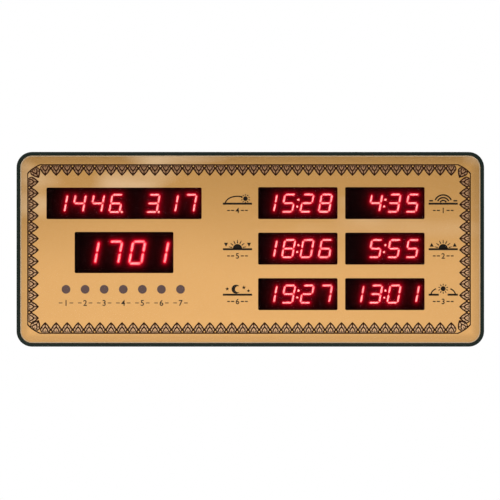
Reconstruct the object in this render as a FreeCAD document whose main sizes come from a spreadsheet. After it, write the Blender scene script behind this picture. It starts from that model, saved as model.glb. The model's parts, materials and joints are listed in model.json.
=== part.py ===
"""Wall-mounted azan (prayer time) clock: a framed case with LED displays behind a printed lens.

Units are millimetres.  +X is to the right and +Z up for someone looking at the display, and the
display faces -Y.  The origin is the centre of the case's flat rear face, which lies on the wall.
"Depth" below means the distance in front of that wall, so a point at depth d has y = -d.
"""
import FreeCAD, Part
import math
import os
import re
import Sketcher
from FreeCAD import Rotation, Vector

os.makedirs("parts", exist_ok=True)
doc = FreeCAD.newDocument("AzanClock")
sizes = doc.addObject("Spreadsheet::Sheet", "Sizes")
derived = doc.addObject("Spreadsheet::Sheet", "Derived")
sheet_of_alias = {}


# ---------------------------------------------------------------------------------------------
# The two sheets: driving sizes, and what follows from them
# ---------------------------------------------------------------------------------------------
def put_in_sheet(sheet, alias, content):
    row = sum(1 for name in sheet_of_alias.values() if name == sheet.Name) + 1
    sheet.set("A%d" % row, alias)
    sheet.set("B%d" % row, content)
    sheet.setAlias("B%d" % row, alias)
    sheet_of_alias[alias] = sheet.Name


def bound(formula):
    """The formula with each alias written the way an expression needs it."""
    return re.sub(r"[a-z_]\w*", lambda word: with_sheet(word.group()), str(formula))


def with_sheet(word):
    return sheet_of_alias[word] + "." + word if word in sheet_of_alias else word


# Driving sizes, each set by itself
driving_sizes = {
    # Case, frame and lens
    "case_width": 480,
    "case_height": 200,
    "case_depth": 32,
    "case_corner": 16,
    "frame_wall": 3.4,
    "frame_back": 14,
    "frame_edge": 1.2,
    "rim_chamfer": 0.8,
    "ledge_width": 13,
    "ledge_thickness": 2.5,
    "lens_setback": 1,
    "lens_gap": 0.4,
    "lens_thickness": 2,
    "lens_edge": 0.4,
    "bond_line": 0.1,
    "film_thickness": 0.3,
    "tape_thickness": 0.5,
    "tape_inset": 0.5,
    "filter_thickness": 0.4,
    "filter_margin": 4,
    "window_corner": 1.5,
    "overshoot": 1,
    "shell_wall": 2.2,
    "shell_gap": 0.3,
    "shell_overlap": 10,
    "shell_edge": 1.5,
    # Display windows in the printed film
    "date_inset": 110.3,
    "date_gap": 13.15,
    "date_window_width": 159.4,
    "date_window_height": 32.4,
    "time_z": -3.3,
    "time_window_width": 101.5,
    "time_window_height": 42.3,
    "prayer_window_width": 81.6,
    "prayer_window_height": 32.8,
    "prayer_inset": 146.5,
    "prayer_column_pitch": 89.4,
    "prayer_z": 0.7,
    "prayer_row_inset": 53.25,
    "weekday_shift": -0.8,
    "weekday_gap": 16.65,
    "weekday_pitch": 19.6,
    "weekday_window": 9,
    # LED display modules, their boards and lamps
    "small_pitch": 18.9,
    "small_module_height": 27.7,
    "small_module_depth": 8.2,
    "small_digit_height": 17.7,
    "small_digit_width": 10.6,
    "small_segment": 2.2,
    "main_pitch": 23.8,
    "main_module_height": 34,
    "main_module_depth": 10,
    "main_digit_height": 22.5,
    "main_digit_width": 12.4,
    "main_segment": 2.8,
    "digit_slant": 10.5,
    "segment_mitre": 0.35,
    "segment_depth": 2,
    "date_shift": 1.2,
    "time_shift": 1.6,
    "module_gap": 0.3,
    "display_clearance": 0.3,
    "pin_pitch": 2.54,
    "pin_diameter": 0.6,
    "pin_hole": 0.9,
    "pin_row_inset": 3.5,
    "pin_tail": 2,
    "board_thickness": 1.6,
    "board_margin": 7.5,
    "board_corner": 2,
    "weekday_board_margin": 20,
    "post_inset": 4.5,
    "post_diameter": 6,
    "lamp_radius": 2.5,
    "lamp_height": 8.6,
    "lamp_flange": 0.4,
    "lamp_flange_height": 1,
    # Screws
    "case_screw_inset": 14,
    "case_screw_middle": 75,
    "case_screw_head": 5.6,
    "case_screw_head_height": 2,
    "case_screw_thread": 2.9,
    "case_screw_reach": 4,
    "thread_clearance": 0.05,
    "shank_clearance": 0.25,
    "screw_seat": 8,
    "counterbore_clearance": 0.5,
    "tube_wall": 1.2,
    "boss_diameter": 8,
    "boss_length": 5.6,
    "inner_screw_head": 4.2,
    "inner_screw_head_height": 1.4,
    "inner_screw_thread": 2,
    "inner_screw_length": 6,
    "pilot_allowance": 1,
    "drive_recess": 1,
    # Keyhole hangers moulded in the rear shell
    "hanger_spacing": 300,
    "hanger_inset": 30,
    "hanger_entry": 9,
    "hanger_slot": 5,
    "hanger_rise": 10,
    "hood_wall": 1.6,
    "hood_space": 5,
    "hood_clearance": 2,
    # Push buttons on the rear, with their switches and board
    "key_shift": -1.5,
    "key_inset": 28,
    "key_pitch": 20,
    "key_travel": 0.5,
    "key_recess_depth": 3,
    "key_recess_margin": 5,
    "key_recess_corner": 5,
    "button_diameter": 8,
    "button_flange": 10.4,
    "button_flange_height": 1.5,
    "button_clearance": 0.3,
    "button_below_back": 1.2,
    "button_edge": 0.5,
    "switch_width": 6,
    "switch_height": 3.5,
    "plunger_diameter": 3.5,
    "plunger_proud": 1.5,
    "plunger_hidden": 0.7,
    "plunger_clearance": 0.1,
    "key_board_thickness": 1.6,
    "key_board_height": 14,
    "key_post_step": 17,
    # Battery compartment and its hinged door
    "door_shift": 38.5,
    "door_z": 18,
    "door_width": 28,
    "door_height": 30,
    "door_thickness": 2.4,
    "door_below_back": 0.2,
    "door_clearance": 0.3,
    "door_pin": 1.6,
    "door_pin_reach": 1.2,
    "door_pin_clearance": 0.08,
    "compartment_wall": 2.5,
    "compartment_floor": 2,
    "cell_diameter": 20,
    "cell_thickness": 3.2,
    "cell_rim": 1.6,
    "cell_clearance": 0.6,
    "cell_below_door": 0.8,
    "contact_thickness": 0.3,
    "contact_width": 3,
    "notch_width": 12,
    "notch_height": 4,
    "notch_depth": 1.4,
    # Speaker and its grille
    "speaker_edge": 1,
    "speaker_ring_margin": 0.5,
    "speaker_z": 0,
    "speaker_diameter": 50,
    "speaker_flange_width": 5.5,
    "speaker_flange_thickness": 1,
    "speaker_sheet": 0.8,
    "speaker_basket_depth": 6,
    "speaker_magnet_diameter": 24,
    "speaker_magnet_depth": 4,
    "speaker_coil": 11.6,
    "speaker_cone_sheet": 0.5,
    "speaker_cone_depth": 4.2,
    "speaker_coil_wall": 0.6,
    "speaker_coil_gap": 0.4,
    "speaker_coil_reach": 2,
    "speaker_screw_length": 3.6,
    "speaker_seat": 2,
    "speaker_screw_pitch": 45,
    "grille_hole": 2.6,
    "grille_step": 5,
    # Power inlet, vents, label plate and the small parts on the boards
    "jack_x": 0,
    "jack_width": 10,
    "jack_length": 13,
    "jack_nose": 8.4,
    "jack_nose_clearance": 0.2,
    "jack_bore": 6.3,
    "jack_bore_depth": 9.5,
    "jack_pin_diameter": 2.1,
    "jack_pin_short": 0.5,
    "jack_rib": 1.6,
    "jack_rib_height": 6,
    "vent_x": 110,
    "vent_inset": 16,
    "vent_length": 22,
    "vent_width": 2.4,
    "vent_pitch": 5,
    "label_x": 60,
    "label_width": 70,
    "label_height": 40,
    "label_depth": 0.3,
    "controller_offset": 35,
    "left_driver_offset": 62,
    "audio_chip_offset": 60,
    "chip_band_drop": 1,
    "chip_width": 7.5,
    "chip_height": 2.4,
    "chip_standoff": 0.2,
    "leg_pitch": 1.27,
    "leg_width": 0.5,
    "leg_reach": 1.4,
    "capacitor_diameter": 8,
    "capacitor_height": 9,
    "capacitor_pitch": 12,
    "capacitor_inset": 22,
    "capacitor_rise": 14,
    "crystal_offset": 14,
    "crystal_length": 11,
    "crystal_width": 4.5,
    "crystal_height": 3.5,
    "regulator_inset": 34,
    "regulator_rise": 12,
    "regulator_width": 10,
    "regulator_length": 15,
    "regulator_tab": 1.3,
    "regulator_height": 4.4,
    "wire_diameter": 1.2,
    "ribbon_width": 12,
    "ribbon_thickness": 0.9,
    "plug_depth": 4,
    "plug_width": 6,
    "plug_margin": 1,
    "cable_drop": 14,
}

# Sizes and places that are worked out from the others
derived_sizes = {
    # Case, frame and lens
    "cavity_width": "case_width - 2 * frame_wall",
    "cavity_height": "case_height - 2 * frame_wall",
    "cavity_corner": "case_corner - frame_wall",
    "lens_front": "case_depth - lens_setback",
    "lens_back": "lens_front - lens_thickness",
    "film_front": "lens_back - bond_line",
    "film_back": "film_front - film_thickness",
    "filter_back": "film_back - filter_thickness",
    "ledge_front": "film_back - tape_thickness",
    "ledge_back": "ledge_front - ledge_thickness",
    "sheet_width": "cavity_width - 2 * lens_gap",
    "sheet_height": "cavity_height - 2 * lens_gap",
    "sheet_corner": "cavity_corner - lens_gap",
    "opening_width": "cavity_width - 2 * ledge_width",
    "opening_height": "cavity_height - 2 * ledge_width",
    "opening_corner": "cavity_corner / 2",
    "shell_width": "cavity_width - 2 * shell_gap",
    "shell_height": "cavity_height - 2 * shell_gap",
    "shell_corner": "cavity_corner - shell_gap",
    "shell_front": "frame_back + shell_overlap",
    "inside_width": "shell_width - 2 * shell_wall",
    "inside_height": "shell_height - 2 * shell_wall",
    "inside_corner": "shell_corner - shell_wall",
    # Display windows in the printed film
    "date_x": "date_inset - case_width / 2",
    "date_z": "time_z + (time_window_height + date_window_height) / 2 + date_gap",
    "prayer_x": "case_width / 2 - prayer_inset",
    "prayer_row_pitch": "case_height / 2 - prayer_row_inset",
    "weekday_x": "date_x + weekday_shift",
    "weekday_z": "time_z - time_window_height / 2 - weekday_gap",
    # LED display modules, their boards and lamps
    "date_display_x": "date_x + date_shift",
    "date_module_step": "4 * small_pitch + module_gap",
    "time_x": "date_x + time_shift",
    "board_front": "filter_back - display_clearance - main_module_depth",
    "board_back": "board_front - board_thickness",
    "left_board_x": "date_display_x",
    "key_x": "left_board_x + key_shift",
    "door_x": "left_board_x + door_shift",
    "left_board_top": "date_z + small_module_height / 2 + board_margin / 2",
    "left_board_bottom": "weekday_z - weekday_board_margin",
    "left_board_width": "date_module_step + 4 * small_pitch + 2 * board_margin",
    "left_board_height": "left_board_top - left_board_bottom",
    "left_board_z": "(left_board_top + left_board_bottom) / 2",
    "right_board_width": "prayer_column_pitch + 4 * small_pitch + 2 * board_margin",
    "right_board_height": "2 * prayer_row_pitch + small_module_height + board_margin",
    # Screws
    "case_screw_x": "case_width / 2 - case_screw_inset",
    "case_screw_z": "case_height / 2 - case_screw_inset",
    "boss_back": "ledge_back - boss_length",
    "counterbore": "case_screw_head + 2 * counterbore_clearance",
    "tube_diameter": "counterbore + 2 * tube_wall",
    "case_screw_bore": "case_screw_thread + 2 * shank_clearance",
    "inner_screw_bore": "inner_screw_thread + 2 * shank_clearance",
    "inner_pilot": "inner_screw_thread + 2 * thread_clearance",
    "inner_pilot_depth": "inner_screw_length + pilot_allowance - board_thickness",
    # Keyhole hangers moulded in the rear shell
    "hanger_z": "case_height / 2 - hanger_inset",
    "hood_width": "hanger_entry + 2 * hood_clearance + 2 * hood_wall",
    "hood_height": "hanger_entry + hanger_rise + 2 * hood_clearance + 2 * hood_wall",
    "hood_front": "shell_wall + hood_space + hood_wall",
    # Push buttons on the rear, with their switches and board
    "key_z": "key_inset - case_height / 2",
    "key_recess_width": "3 * key_pitch + button_diameter + 2 * key_recess_margin",
    "key_recess_height": "button_diameter + 2 * key_recess_margin",
    "key_floor_front": "key_recess_depth + shell_wall",
    "button_flange_back": "key_floor_front + button_clearance",
    "button_front": "button_flange_back + button_flange_height",
    "switch_back": "button_front + plunger_proud",
    "switch_front": "switch_back + switch_height",
    "plunger_front": "switch_back + plunger_hidden",
    "plunger_well": "plunger_hidden + key_travel + button_clearance",
    "key_board_front": "switch_front + key_board_thickness",
    "key_post_x": "1.5 * key_pitch + key_post_step",
    "key_board_width": "2 * key_post_x + post_diameter",
    # Battery compartment and its hinged door
    "door_inner": "door_below_back + door_thickness",
    "door_recess_depth": "door_inner + door_clearance",
    "door_bottom": "door_z - door_height / 2",
    "hinge_z": "door_bottom + door_thickness / 2",
    "hinge_depth": "door_below_back + door_thickness / 2",
    "door_recess_width": "door_width + 2 * door_clearance",
    "door_recess_height": "door_height + 2 * door_clearance",
    "cell_back": "door_inner + cell_below_door",
    "cell_front": "cell_back + cell_thickness",
    "well_front": "cell_front + contact_thickness + bond_line",
    "well_diameter": "cell_diameter + 2 * cell_clearance",
    "compartment_front": "well_front + compartment_floor",
    # Speaker and its grille
    "speaker_x": "inside_width / 2 - speaker_diameter / 2 - speaker_edge",
    "speaker_back": "shell_wall + speaker_seat",
    "speaker_flange_front": "speaker_back + speaker_flange_thickness",
    "magnet_back": "speaker_back + speaker_basket_depth",
    "speaker_pilot_depth": "speaker_screw_length - speaker_flange_thickness + shank_clearance",
    # Power inlet, vents, label plate and the small parts on the boards
    "vent_high": "case_height / 2 - vent_inset - vent_length",
    "vent_low": "vent_inset - case_height / 2",
    "jack_depth": "shell_wall + jack_width / 2",
    "jack_mouth_z": "-shell_height / 2",
    "jack_inner_z": "jack_mouth_z + shell_wall",
    "chip_band_z": "(date_z + time_z) / 2 - chip_band_drop",
    "left_board_right": "left_board_x + left_board_width / 2",
    "right_board_left": "prayer_x - right_board_width / 2",
    "ribbon_depth": "board_back - plug_depth / 2",
}

for size_name, millimetres in driving_sizes.items():
    put_in_sheet(sizes, size_name, str(millimetres))
for size_name, formula_text in derived_sizes.items():
    put_in_sheet(derived, size_name, "=" + bound(formula_text))
doc.recompute()


def value(formula):
    """What a formula comes to now, as a number."""
    return float(derived.evalExpression(bound(formula)))


# ---------------------------------------------------------------------------------------------
# Sketches and features
# ---------------------------------------------------------------------------------------------
def new_body(label):
    body = doc.addObject("PartDesign::Body", label)
    body.Label = label
    return body


def new_sketch(body, offset="0", role="XZ_Plane"):
    """A sketch on an origin plane; on XZ_Plane it looks from the front and offset is its depth."""
    sketch = body.newObject("Sketcher::SketchObject", body.Name + "_sketch")
    plane = next(feature for feature in body.Origin.OriginFeatures if feature.Role == role)
    sketch.AttachmentSupport = (plane, [""])
    sketch.MapMode = "FlatFace"
    sketch.setExpression(".AttachmentOffset.Base.z", bound(offset))
    return sketch


def hold(sketch, kind, geometry, point, formula):
    """Ties one point of the sketch to a place measured from the sketch's origin."""
    index = sketch.addConstraint(Sketcher.Constraint(kind, -1, 1, geometry, point, value(formula)))
    sketch.setExpression("Constraints[%d]" % index, bound(formula))


def circle(sketch, x, z, diameter):
    centre = Vector(value(x), value(z), 0)
    radius = value(diameter) / 2
    ring = sketch.addGeometry(Part.Circle(centre, Vector(0, 0, 1), radius), False)
    index = sketch.addConstraint(Sketcher.Constraint("Diameter", ring, 2 * radius))
    sketch.setExpression("Constraints[%d]" % index, bound(diameter))
    hold(sketch, "DistanceX", ring, 3, x)
    hold(sketch, "DistanceY", ring, 3, z)


def circles(sketch, places, diameter):
    for x, z in places:
        circle(sketch, x, z, diameter)


def closed_outline(sketch, points):
    """A closed run of straight lines through points given as pairs of formulas."""
    corners = [Vector(value(x), value(z), 0) for x, z in points]
    lines = []
    for start, end in zip(corners, corners[1:] + corners[:1]):
        lines.append(sketch.addGeometry(Part.LineSegment(start, end), False))
    for line, following in zip(lines, lines[1:] + lines[:1]):
        sketch.addConstraint(Sketcher.Constraint("Coincident", line, 2, following, 1))
    for line, (x, z) in zip(lines, points):
        hold(sketch, "DistanceX", line, 1, x)
        hold(sketch, "DistanceY", line, 1, z)


def rectangle(sketch, x, z, width, height):
    left = "%s - (%s) / 2" % (x, width)
    right = "%s + (%s) / 2" % (x, width)
    bottom = "%s - (%s) / 2" % (z, height)
    top = "%s + (%s) / 2" % (z, height)
    closed_outline(sketch, [(left, bottom), (right, bottom), (right, top), (left, top)])


def rounded_rectangle(sketch, x, z, width, height, corner):
    left = value("%s - (%s) / 2" % (x, width))
    right = value("%s + (%s) / 2" % (x, width))
    bottom = value("%s - (%s) / 2" % (z, height))
    top = value("%s + (%s) / 2" % (z, height))
    radius = value(corner)
    quarter = math.pi / 2
    centres = [(right, bottom, -1, 1), (right, top, -1, -1), (left, top, 1, -1), (left, bottom, 1, 1)]
    arcs = []
    for turn, (edge_x, edge_z, inward_x, inward_z) in enumerate(centres):
        centre = Vector(edge_x + inward_x * radius, edge_z + inward_z * radius, 0)
        rim = Part.Circle(centre, Vector(0, 0, 1), radius)
        start = (turn - 1) * quarter
        arcs.append(sketch.addGeometry(Part.ArcOfCircle(rim, start, start + quarter), False))
    sides = []
    for arc, following in zip(arcs, arcs[1:] + arcs[:1]):
        start = sketch.getPoint(arc, 2)
        end = sketch.getPoint(following, 1)
        sides.append(sketch.addGeometry(Part.LineSegment(start, end), False))
    for side, arc, following in zip(sides, arcs, arcs[1:] + arcs[:1]):
        sketch.addConstraint(Sketcher.Constraint("Tangent", arc, 2, side, 1))
        sketch.addConstraint(Sketcher.Constraint("Tangent", side, 2, following, 1))
    for side, direction in zip(sides, ["Vertical", "Horizontal", "Vertical", "Horizontal"]):
        sketch.addConstraint(Sketcher.Constraint(direction, side))
    for arc in arcs[1:]:
        sketch.addConstraint(Sketcher.Constraint("Equal", arcs[0], arc))
    index = sketch.addConstraint(Sketcher.Constraint("Radius", arcs[0], radius))
    sketch.setExpression("Constraints[%d]" % index, bound(corner))
    hold(sketch, "DistanceX", sides[0], 1, "%s + (%s) / 2" % (x, width))
    hold(sketch, "DistanceY", sides[1], 1, "%s + (%s) / 2" % (z, height))
    hold(sketch, "DistanceX", sides[2], 1, "%s - (%s) / 2" % (x, width))
    hold(sketch, "DistanceY", sides[3], 1, "%s - (%s) / 2" % (z, height))


def upright_slot(sketch, x, z, width, rise):
    """A slot that starts at height z and runs up by rise, measured between its end centres."""
    radius = value(width) / 2
    low = Vector(value(x), value(z), 0)
    high = Vector(value(x), value(z) + value(rise), 0)
    bottom = sketch.addGeometry(
        Part.ArcOfCircle(Part.Circle(low, Vector(0, 0, 1), radius), math.pi, 2 * math.pi), False)
    top = sketch.addGeometry(Part.ArcOfCircle(Part.Circle(high, Vector(0, 0, 1), radius), 0, math.pi), False)
    right = sketch.addGeometry(
        Part.LineSegment(sketch.getPoint(bottom, 2), sketch.getPoint(top, 1)), False)
    left = sketch.addGeometry(
        Part.LineSegment(sketch.getPoint(top, 2), sketch.getPoint(bottom, 1)), False)
    for first, second in ((bottom, right), (right, top), (top, left), (left, bottom)):
        sketch.addConstraint(Sketcher.Constraint("Tangent", first, 2, second, 1))
    index = sketch.addConstraint(Sketcher.Constraint("Diameter", bottom, 2 * radius))
    sketch.setExpression("Constraints[%d]" % index, bound(width))
    hold(sketch, "DistanceX", bottom, 3, x)
    hold(sketch, "DistanceY", bottom, 3, z)
    hold(sketch, "DistanceX", top, 3, x)
    hold(sketch, "DistanceY", top, 3, "%s + %s" % (z, rise))


def pad(body, sketch, length, backward=False, both_ways=False):
    """Adds material from the sketch toward the front, or backward toward the wall."""
    feature = body.newObject("PartDesign::Pad", body.Name + "_pad")
    feature.Profile = sketch
    feature.Refine = False
    feature.Reversed = backward
    feature.Midplane = both_ways
    feature.setExpression("Length", bound(length))
    return feature


def pocket(body, sketch, length, backward=False, both_ways=False):
    """Removes material from the sketch toward the front, or backward toward the wall."""
    feature = body.newObject("PartDesign::Pocket", body.Name + "_pocket")
    feature.Profile = sketch
    feature.Refine = False
    feature.Reversed = not backward
    feature.Midplane = both_ways
    feature.setExpression("Length", bound(length))
    return feature


def pattern(body, kind, originals, axis, copies, length=None, angle=None):
    """Repeats features along or about an axis of the body's origin."""
    feature = body.newObject("PartDesign::" + kind, body.Name + "_pattern")
    feature.Originals = originals
    feature.Refine = False
    if kind == "LinearPattern":
        feature.Direction = axis
        feature.setExpression("Length", bound(length))
    else:
        feature.Axis = axis
        feature.Angle = angle
    feature.Occurrences = copies
    body.Tip = feature
    return feature


def edges_at_depth(feature, depth):
    """Names of the edges that lie wholly at one depth."""
    doc.recompute()
    names = []
    for number, edge in enumerate(feature.Shape.Edges, 1):
        if all(abs(vertex.Point.y + value(depth)) < 1e-6 for vertex in edge.Vertexes):
            names.append("Edge%d" % number)
    return names


def soften_edges(body, kind, feature, depth, amount):
    """Rounds (Fillet) or bevels (Chamfer) every edge at one depth."""
    softened = body.newObject("PartDesign::" + kind, body.Name + "_" + kind.lower())
    softened.Base = (feature, edges_at_depth(feature, depth))
    softened.setExpression("Radius" if kind == "Fillet" else "Size", bound(amount))
    return softened


def padded(label, back, front, draw):
    """A body of one pad between two depths; draw puts the outline in its sketch."""
    body = new_body(label)
    sketch = new_sketch(body, back)
    draw(sketch)
    pad(body, sketch, "%s - (%s)" % (front, back))
    return body


def revolved(label, profile, x="0", z="0", depth="0"):
    """A body turned about a line parallel to Y; the profile holds (radius, depth) formulas."""
    body = new_body(label)
    sketch = new_sketch(body, role="XY_Plane")
    closed_outline(sketch, [(radius, "-(%s)" % profile_depth) for radius, profile_depth in profile])
    turn = body.newObject("PartDesign::Revolution", label + "_turn")
    turn.Profile = sketch
    turn.ReferenceAxis = (sketch, ["V_Axis"])
    turn.Angle = 360
    place(body, x, depth, z)
    return body


def place(shape, x, depth, z):
    shape.setExpression(".Placement.Base.x", bound(x))
    shape.setExpression(".Placement.Base.y", "-(%s)" % bound(depth))
    shape.setExpression(".Placement.Base.z", bound(z))


# ---------------------------------------------------------------------------------------------
# Part primitives
# ---------------------------------------------------------------------------------------------
def block(name, x, z, width, height, back, front):
    """A box centred on x and z, between two depths."""
    box = doc.addObject("Part::Box", name)
    box.setExpression("Length", bound(width))
    box.setExpression("Width", "%s - (%s)" % (bound(front), bound(back)))
    box.setExpression("Height", bound(height))
    place(box, "%s - (%s) / 2" % (x, width), front, "%s - (%s) / 2" % (z, height))
    return box


def rod(name, x, z, diameter, back, front):
    """A cylinder that points straight at the wall, between two depths."""
    cylinder = doc.addObject("Part::Cylinder", name)
    cylinder.setExpression("Radius", "(%s) / 2" % bound(diameter))
    cylinder.setExpression("Height", "%s - (%s)" % (bound(front), bound(back)))
    cylinder.Placement.Rotation = Rotation(Vector(1, 0, 0), 90)
    place(cylinder, x, back, z)
    return cylinder


def upright_rod(name, x, depth, bottom, diameter, height):
    """A cylinder that stands along Z."""
    cylinder = doc.addObject("Part::Cylinder", name)
    cylinder.setExpression("Radius", "(%s) / 2" % bound(diameter))
    cylinder.setExpression("Height", bound(height))
    place(cylinder, x, depth, bottom)
    return cylinder


def fused(name, pieces):
    union = doc.addObject("Part::MultiFuse", name)
    union.Shapes = pieces
    return union


def without(name, base, tool):
    cut = doc.addObject("Part::Cut", name)
    cut.Base = base
    cut.Tool = tool
    return cut


def grouped(name, pieces):
    """Separate solids that share one node."""
    group = doc.addObject("Part::Compound", name)
    group.Links = pieces
    return group


# ---------------------------------------------------------------------------------------------
# Places that several sub-parts share
# ---------------------------------------------------------------------------------------------
case_screw_places = []
for side_x in ("-case_screw_x", "-case_screw_middle", "case_screw_middle", "case_screw_x"):
    for side_z in ("-case_screw_z", "case_screw_z"):
        case_screw_places.append((side_x, side_z))


def board_corner_places(x, z, width, height):
    places = []
    for side_x in "-+":
        for side_z in "-+":
            corner_x = "%s %s ((%s) / 2 - post_inset)" % (x, side_x, width)
            corner_z = "%s %s ((%s) / 2 - post_inset)" % (z, side_z, height)
            places.append((corner_x, corner_z))
    return places


left_post_places = board_corner_places(
    "left_board_x", "left_board_z", "left_board_width", "left_board_height")
right_post_places = board_corner_places(
    "prayer_x", "prayer_z", "right_board_width", "right_board_height")
key_post_places = [("key_x - key_post_x", "key_z"), ("key_x + key_post_x", "key_z")]
key_places = ["key_x + (%s) * key_pitch" % step for step in (-1.5, -0.5, 0.5, 1.5)]
hanger_places = ["-hanger_spacing / 2", "hanger_spacing / 2"]
speaker_screw_places = []
for quarter_turn in range(4):
    angle = 45 + 90 * quarter_turn
    speaker_screw_places.append((
        "speaker_x + speaker_screw_pitch / 2 * cos(%d)" % angle,
        "speaker_z + speaker_screw_pitch / 2 * sin(%d)" % angle))

left_column = "prayer_x - prayer_column_pitch / 2"
right_column = "prayer_x + prayer_column_pitch / 2"
top_row = "prayer_z + prayer_row_pitch"
bottom_row = "prayer_z - prayer_row_pitch"
prayer_displays = {
    "fajr": (right_column, top_row),
    "ishraq": (right_column, "prayer_z"),
    "dhuhr": (right_column, bottom_row),
    "asr": (left_column, top_row),
    "maghrib": (left_column, "prayer_z"),
    "isha": (left_column, bottom_row),
}
date_displays = {
    "date_left": ("date_display_x - date_module_step / 2", "date_z"),
    "date_right": ("date_display_x + date_module_step / 2", "date_z"),
}
window_places = [
    ("date_x", "date_z", "date_window_width", "date_window_height"),
    ("date_x", "time_z", "time_window_width", "time_window_height"),
]
for window_x, window_z in prayer_displays.values():
    window_places.append((window_x, window_z, "prayer_window_width", "prayer_window_height"))


# ---------------------------------------------------------------------------------------------
# Front frame, lens, printed film, tape and colour filters
# ---------------------------------------------------------------------------------------------
def make_front_frame():
    """A rim with a skirt around the shell and a ledge inside that carries the lens."""
    body = new_body("front_frame")
    outline = new_sketch(body, "frame_back")
    rounded_rectangle(outline, "0", "0", "case_width", "case_height", "case_corner")
    solid = pad(body, outline, "case_depth - frame_back")
    soften_edges(body, "Fillet", solid, "case_depth", "frame_edge")

    lens_seat = new_sketch(body, "ledge_front")
    rounded_rectangle(lens_seat, "0", "0", "cavity_width", "cavity_height", "cavity_corner")
    seat = pocket(body, lens_seat, "case_depth - ledge_front")
    doc.recompute()
    inner_rim = [name for name in edges_at_depth(seat, "case_depth")
                 if inside_cavity(seat.Shape.getElement(name))]
    bevel = body.newObject("PartDesign::Chamfer", "rim_bevel")
    bevel.Base = (seat, inner_rim)
    bevel.setExpression("Size", bound("rim_chamfer"))

    opening = new_sketch(body, "ledge_back")
    rounded_rectangle(opening, "0", "0", "opening_width", "opening_height", "opening_corner")
    pocket(body, opening, "ledge_thickness")
    skirt = new_sketch(body, "frame_back")
    rounded_rectangle(skirt, "0", "0", "cavity_width", "cavity_height", "cavity_corner")
    pocket(body, skirt, "ledge_back - frame_back")
    bosses = new_sketch(body, "boss_back")
    circles(bosses, case_screw_places, "boss_diameter")
    pad(body, bosses, "boss_length")
    pilots = new_sketch(body, "boss_back")
    circles(pilots, case_screw_places, "case_screw_thread + 2 * thread_clearance")
    pocket(body, pilots, "case_screw_reach + pilot_allowance / 2")


def inside_cavity(edge):
    return abs(edge.BoundBox.XMax) < value("cavity_width / 2 + frame_wall / 4") \
        and abs(edge.BoundBox.XMin) < value("cavity_width / 2 + frame_wall / 4") \
        and abs(edge.BoundBox.ZMax) < value("cavity_height / 2 + frame_wall / 4") \
        and abs(edge.BoundBox.ZMin) < value("cavity_height / 2 + frame_wall / 4")


def make_front_lens():
    body = new_body("front_lens")
    outline = new_sketch(body, "lens_back")
    rounded_rectangle(outline, "0", "0", "sheet_width", "sheet_height", "sheet_corner")
    sheet = pad(body, outline, "lens_thickness")
    soften_edges(body, "Chamfer", sheet, "lens_front", "lens_edge")


def make_printed_film():
    """The printed sheet behind the lens, left open at the displays and the weekday lamps."""
    body = new_body("printed_film")
    outline = new_sketch(body, "film_back")
    rounded_rectangle(outline, "0", "0", "sheet_width", "sheet_height", "sheet_corner")
    pad(body, outline, "film_thickness")
    for x, z, width, height in window_places:
        window = new_sketch(body, "film_back")
        rounded_rectangle(window, x, z, width, height, "window_corner")
        pocket(body, window, "film_thickness")
    lamp_window = new_sketch(body, "film_back")
    circle(lamp_window, "weekday_x - 3 * weekday_pitch", "weekday_z", "weekday_window")
    first = pocket(body, lamp_window, "film_thickness")
    axis = (lamp_window, ["H_Axis"])
    pattern(body, "LinearPattern", [first], axis, 7, length="6 * weekday_pitch")


def make_lens_tape():
    body = new_body("lens_tape")
    outline = new_sketch(body, "ledge_front")
    rounded_rectangle(outline, "0", "0", "sheet_width - 2 * tape_inset", "sheet_height - 2 * tape_inset",
                      "sheet_corner - tape_inset")
    pad(body, outline, "tape_thickness")
    inside = new_sketch(body, "ledge_front")
    rounded_rectangle(inside, "0", "0", "opening_width + 2 * tape_inset", "opening_height + 2 * tape_inset",
                      "opening_corner + tape_inset")
    pocket(body, inside, "tape_thickness")


def make_filter(label, x, z, width, height):
    """A flat colour filter stuck to the back of the film."""
    body = new_body(label)
    outline = new_sketch(body, "filter_back")
    rounded_rectangle(outline, x, z, width, height, "window_corner + filter_margin / 2")
    pad(body, outline, "filter_thickness")


def make_filters():
    top = "(date_z + date_window_height / 2 + filter_margin)"
    bottom = "(time_z - time_window_height / 2 - filter_margin)"
    make_filter("left_red_filter", "date_x", "(%s + %s) / 2" % (top, bottom),
                "date_window_width + 2 * filter_margin", "%s - %s" % (top, bottom))
    make_filter("right_red_filter", "prayer_x", "prayer_z",
                "prayer_column_pitch + prayer_window_width + 2 * filter_margin",
                "2 * prayer_row_pitch + prayer_window_height + 2 * filter_margin")
    make_filter("weekday_diffuser", "weekday_x", "weekday_z",
                "6 * weekday_pitch + weekday_window + 2 * filter_margin",
                "weekday_window + filter_margin")


# ---------------------------------------------------------------------------------------------
# Rear shell: a tray, what stands on it, and what is cut out of both
# ---------------------------------------------------------------------------------------------
wall_middle = "shell_wall / 2"
contact_slot_places = [
    "door_x - cell_diameter / 2 + 2 * cell_rim",
    "door_x + cell_diameter / 2 + cell_clearance / 2",
]


def make_tray():
    tray = new_body("shell_tray")
    outline = new_sketch(tray)
    rounded_rectangle(outline, "0", "0", "shell_width", "shell_height", "shell_corner")
    solid = pad(tray, outline, "shell_front")
    soften_edges(tray, "Fillet", solid, "0", "shell_edge")
    inside = new_sketch(tray, "shell_wall")
    rounded_rectangle(inside, "0", "0", "inside_width", "inside_height", "inside_corner")
    pocket(tray, inside, "shell_front - shell_wall")
    return tray


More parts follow.
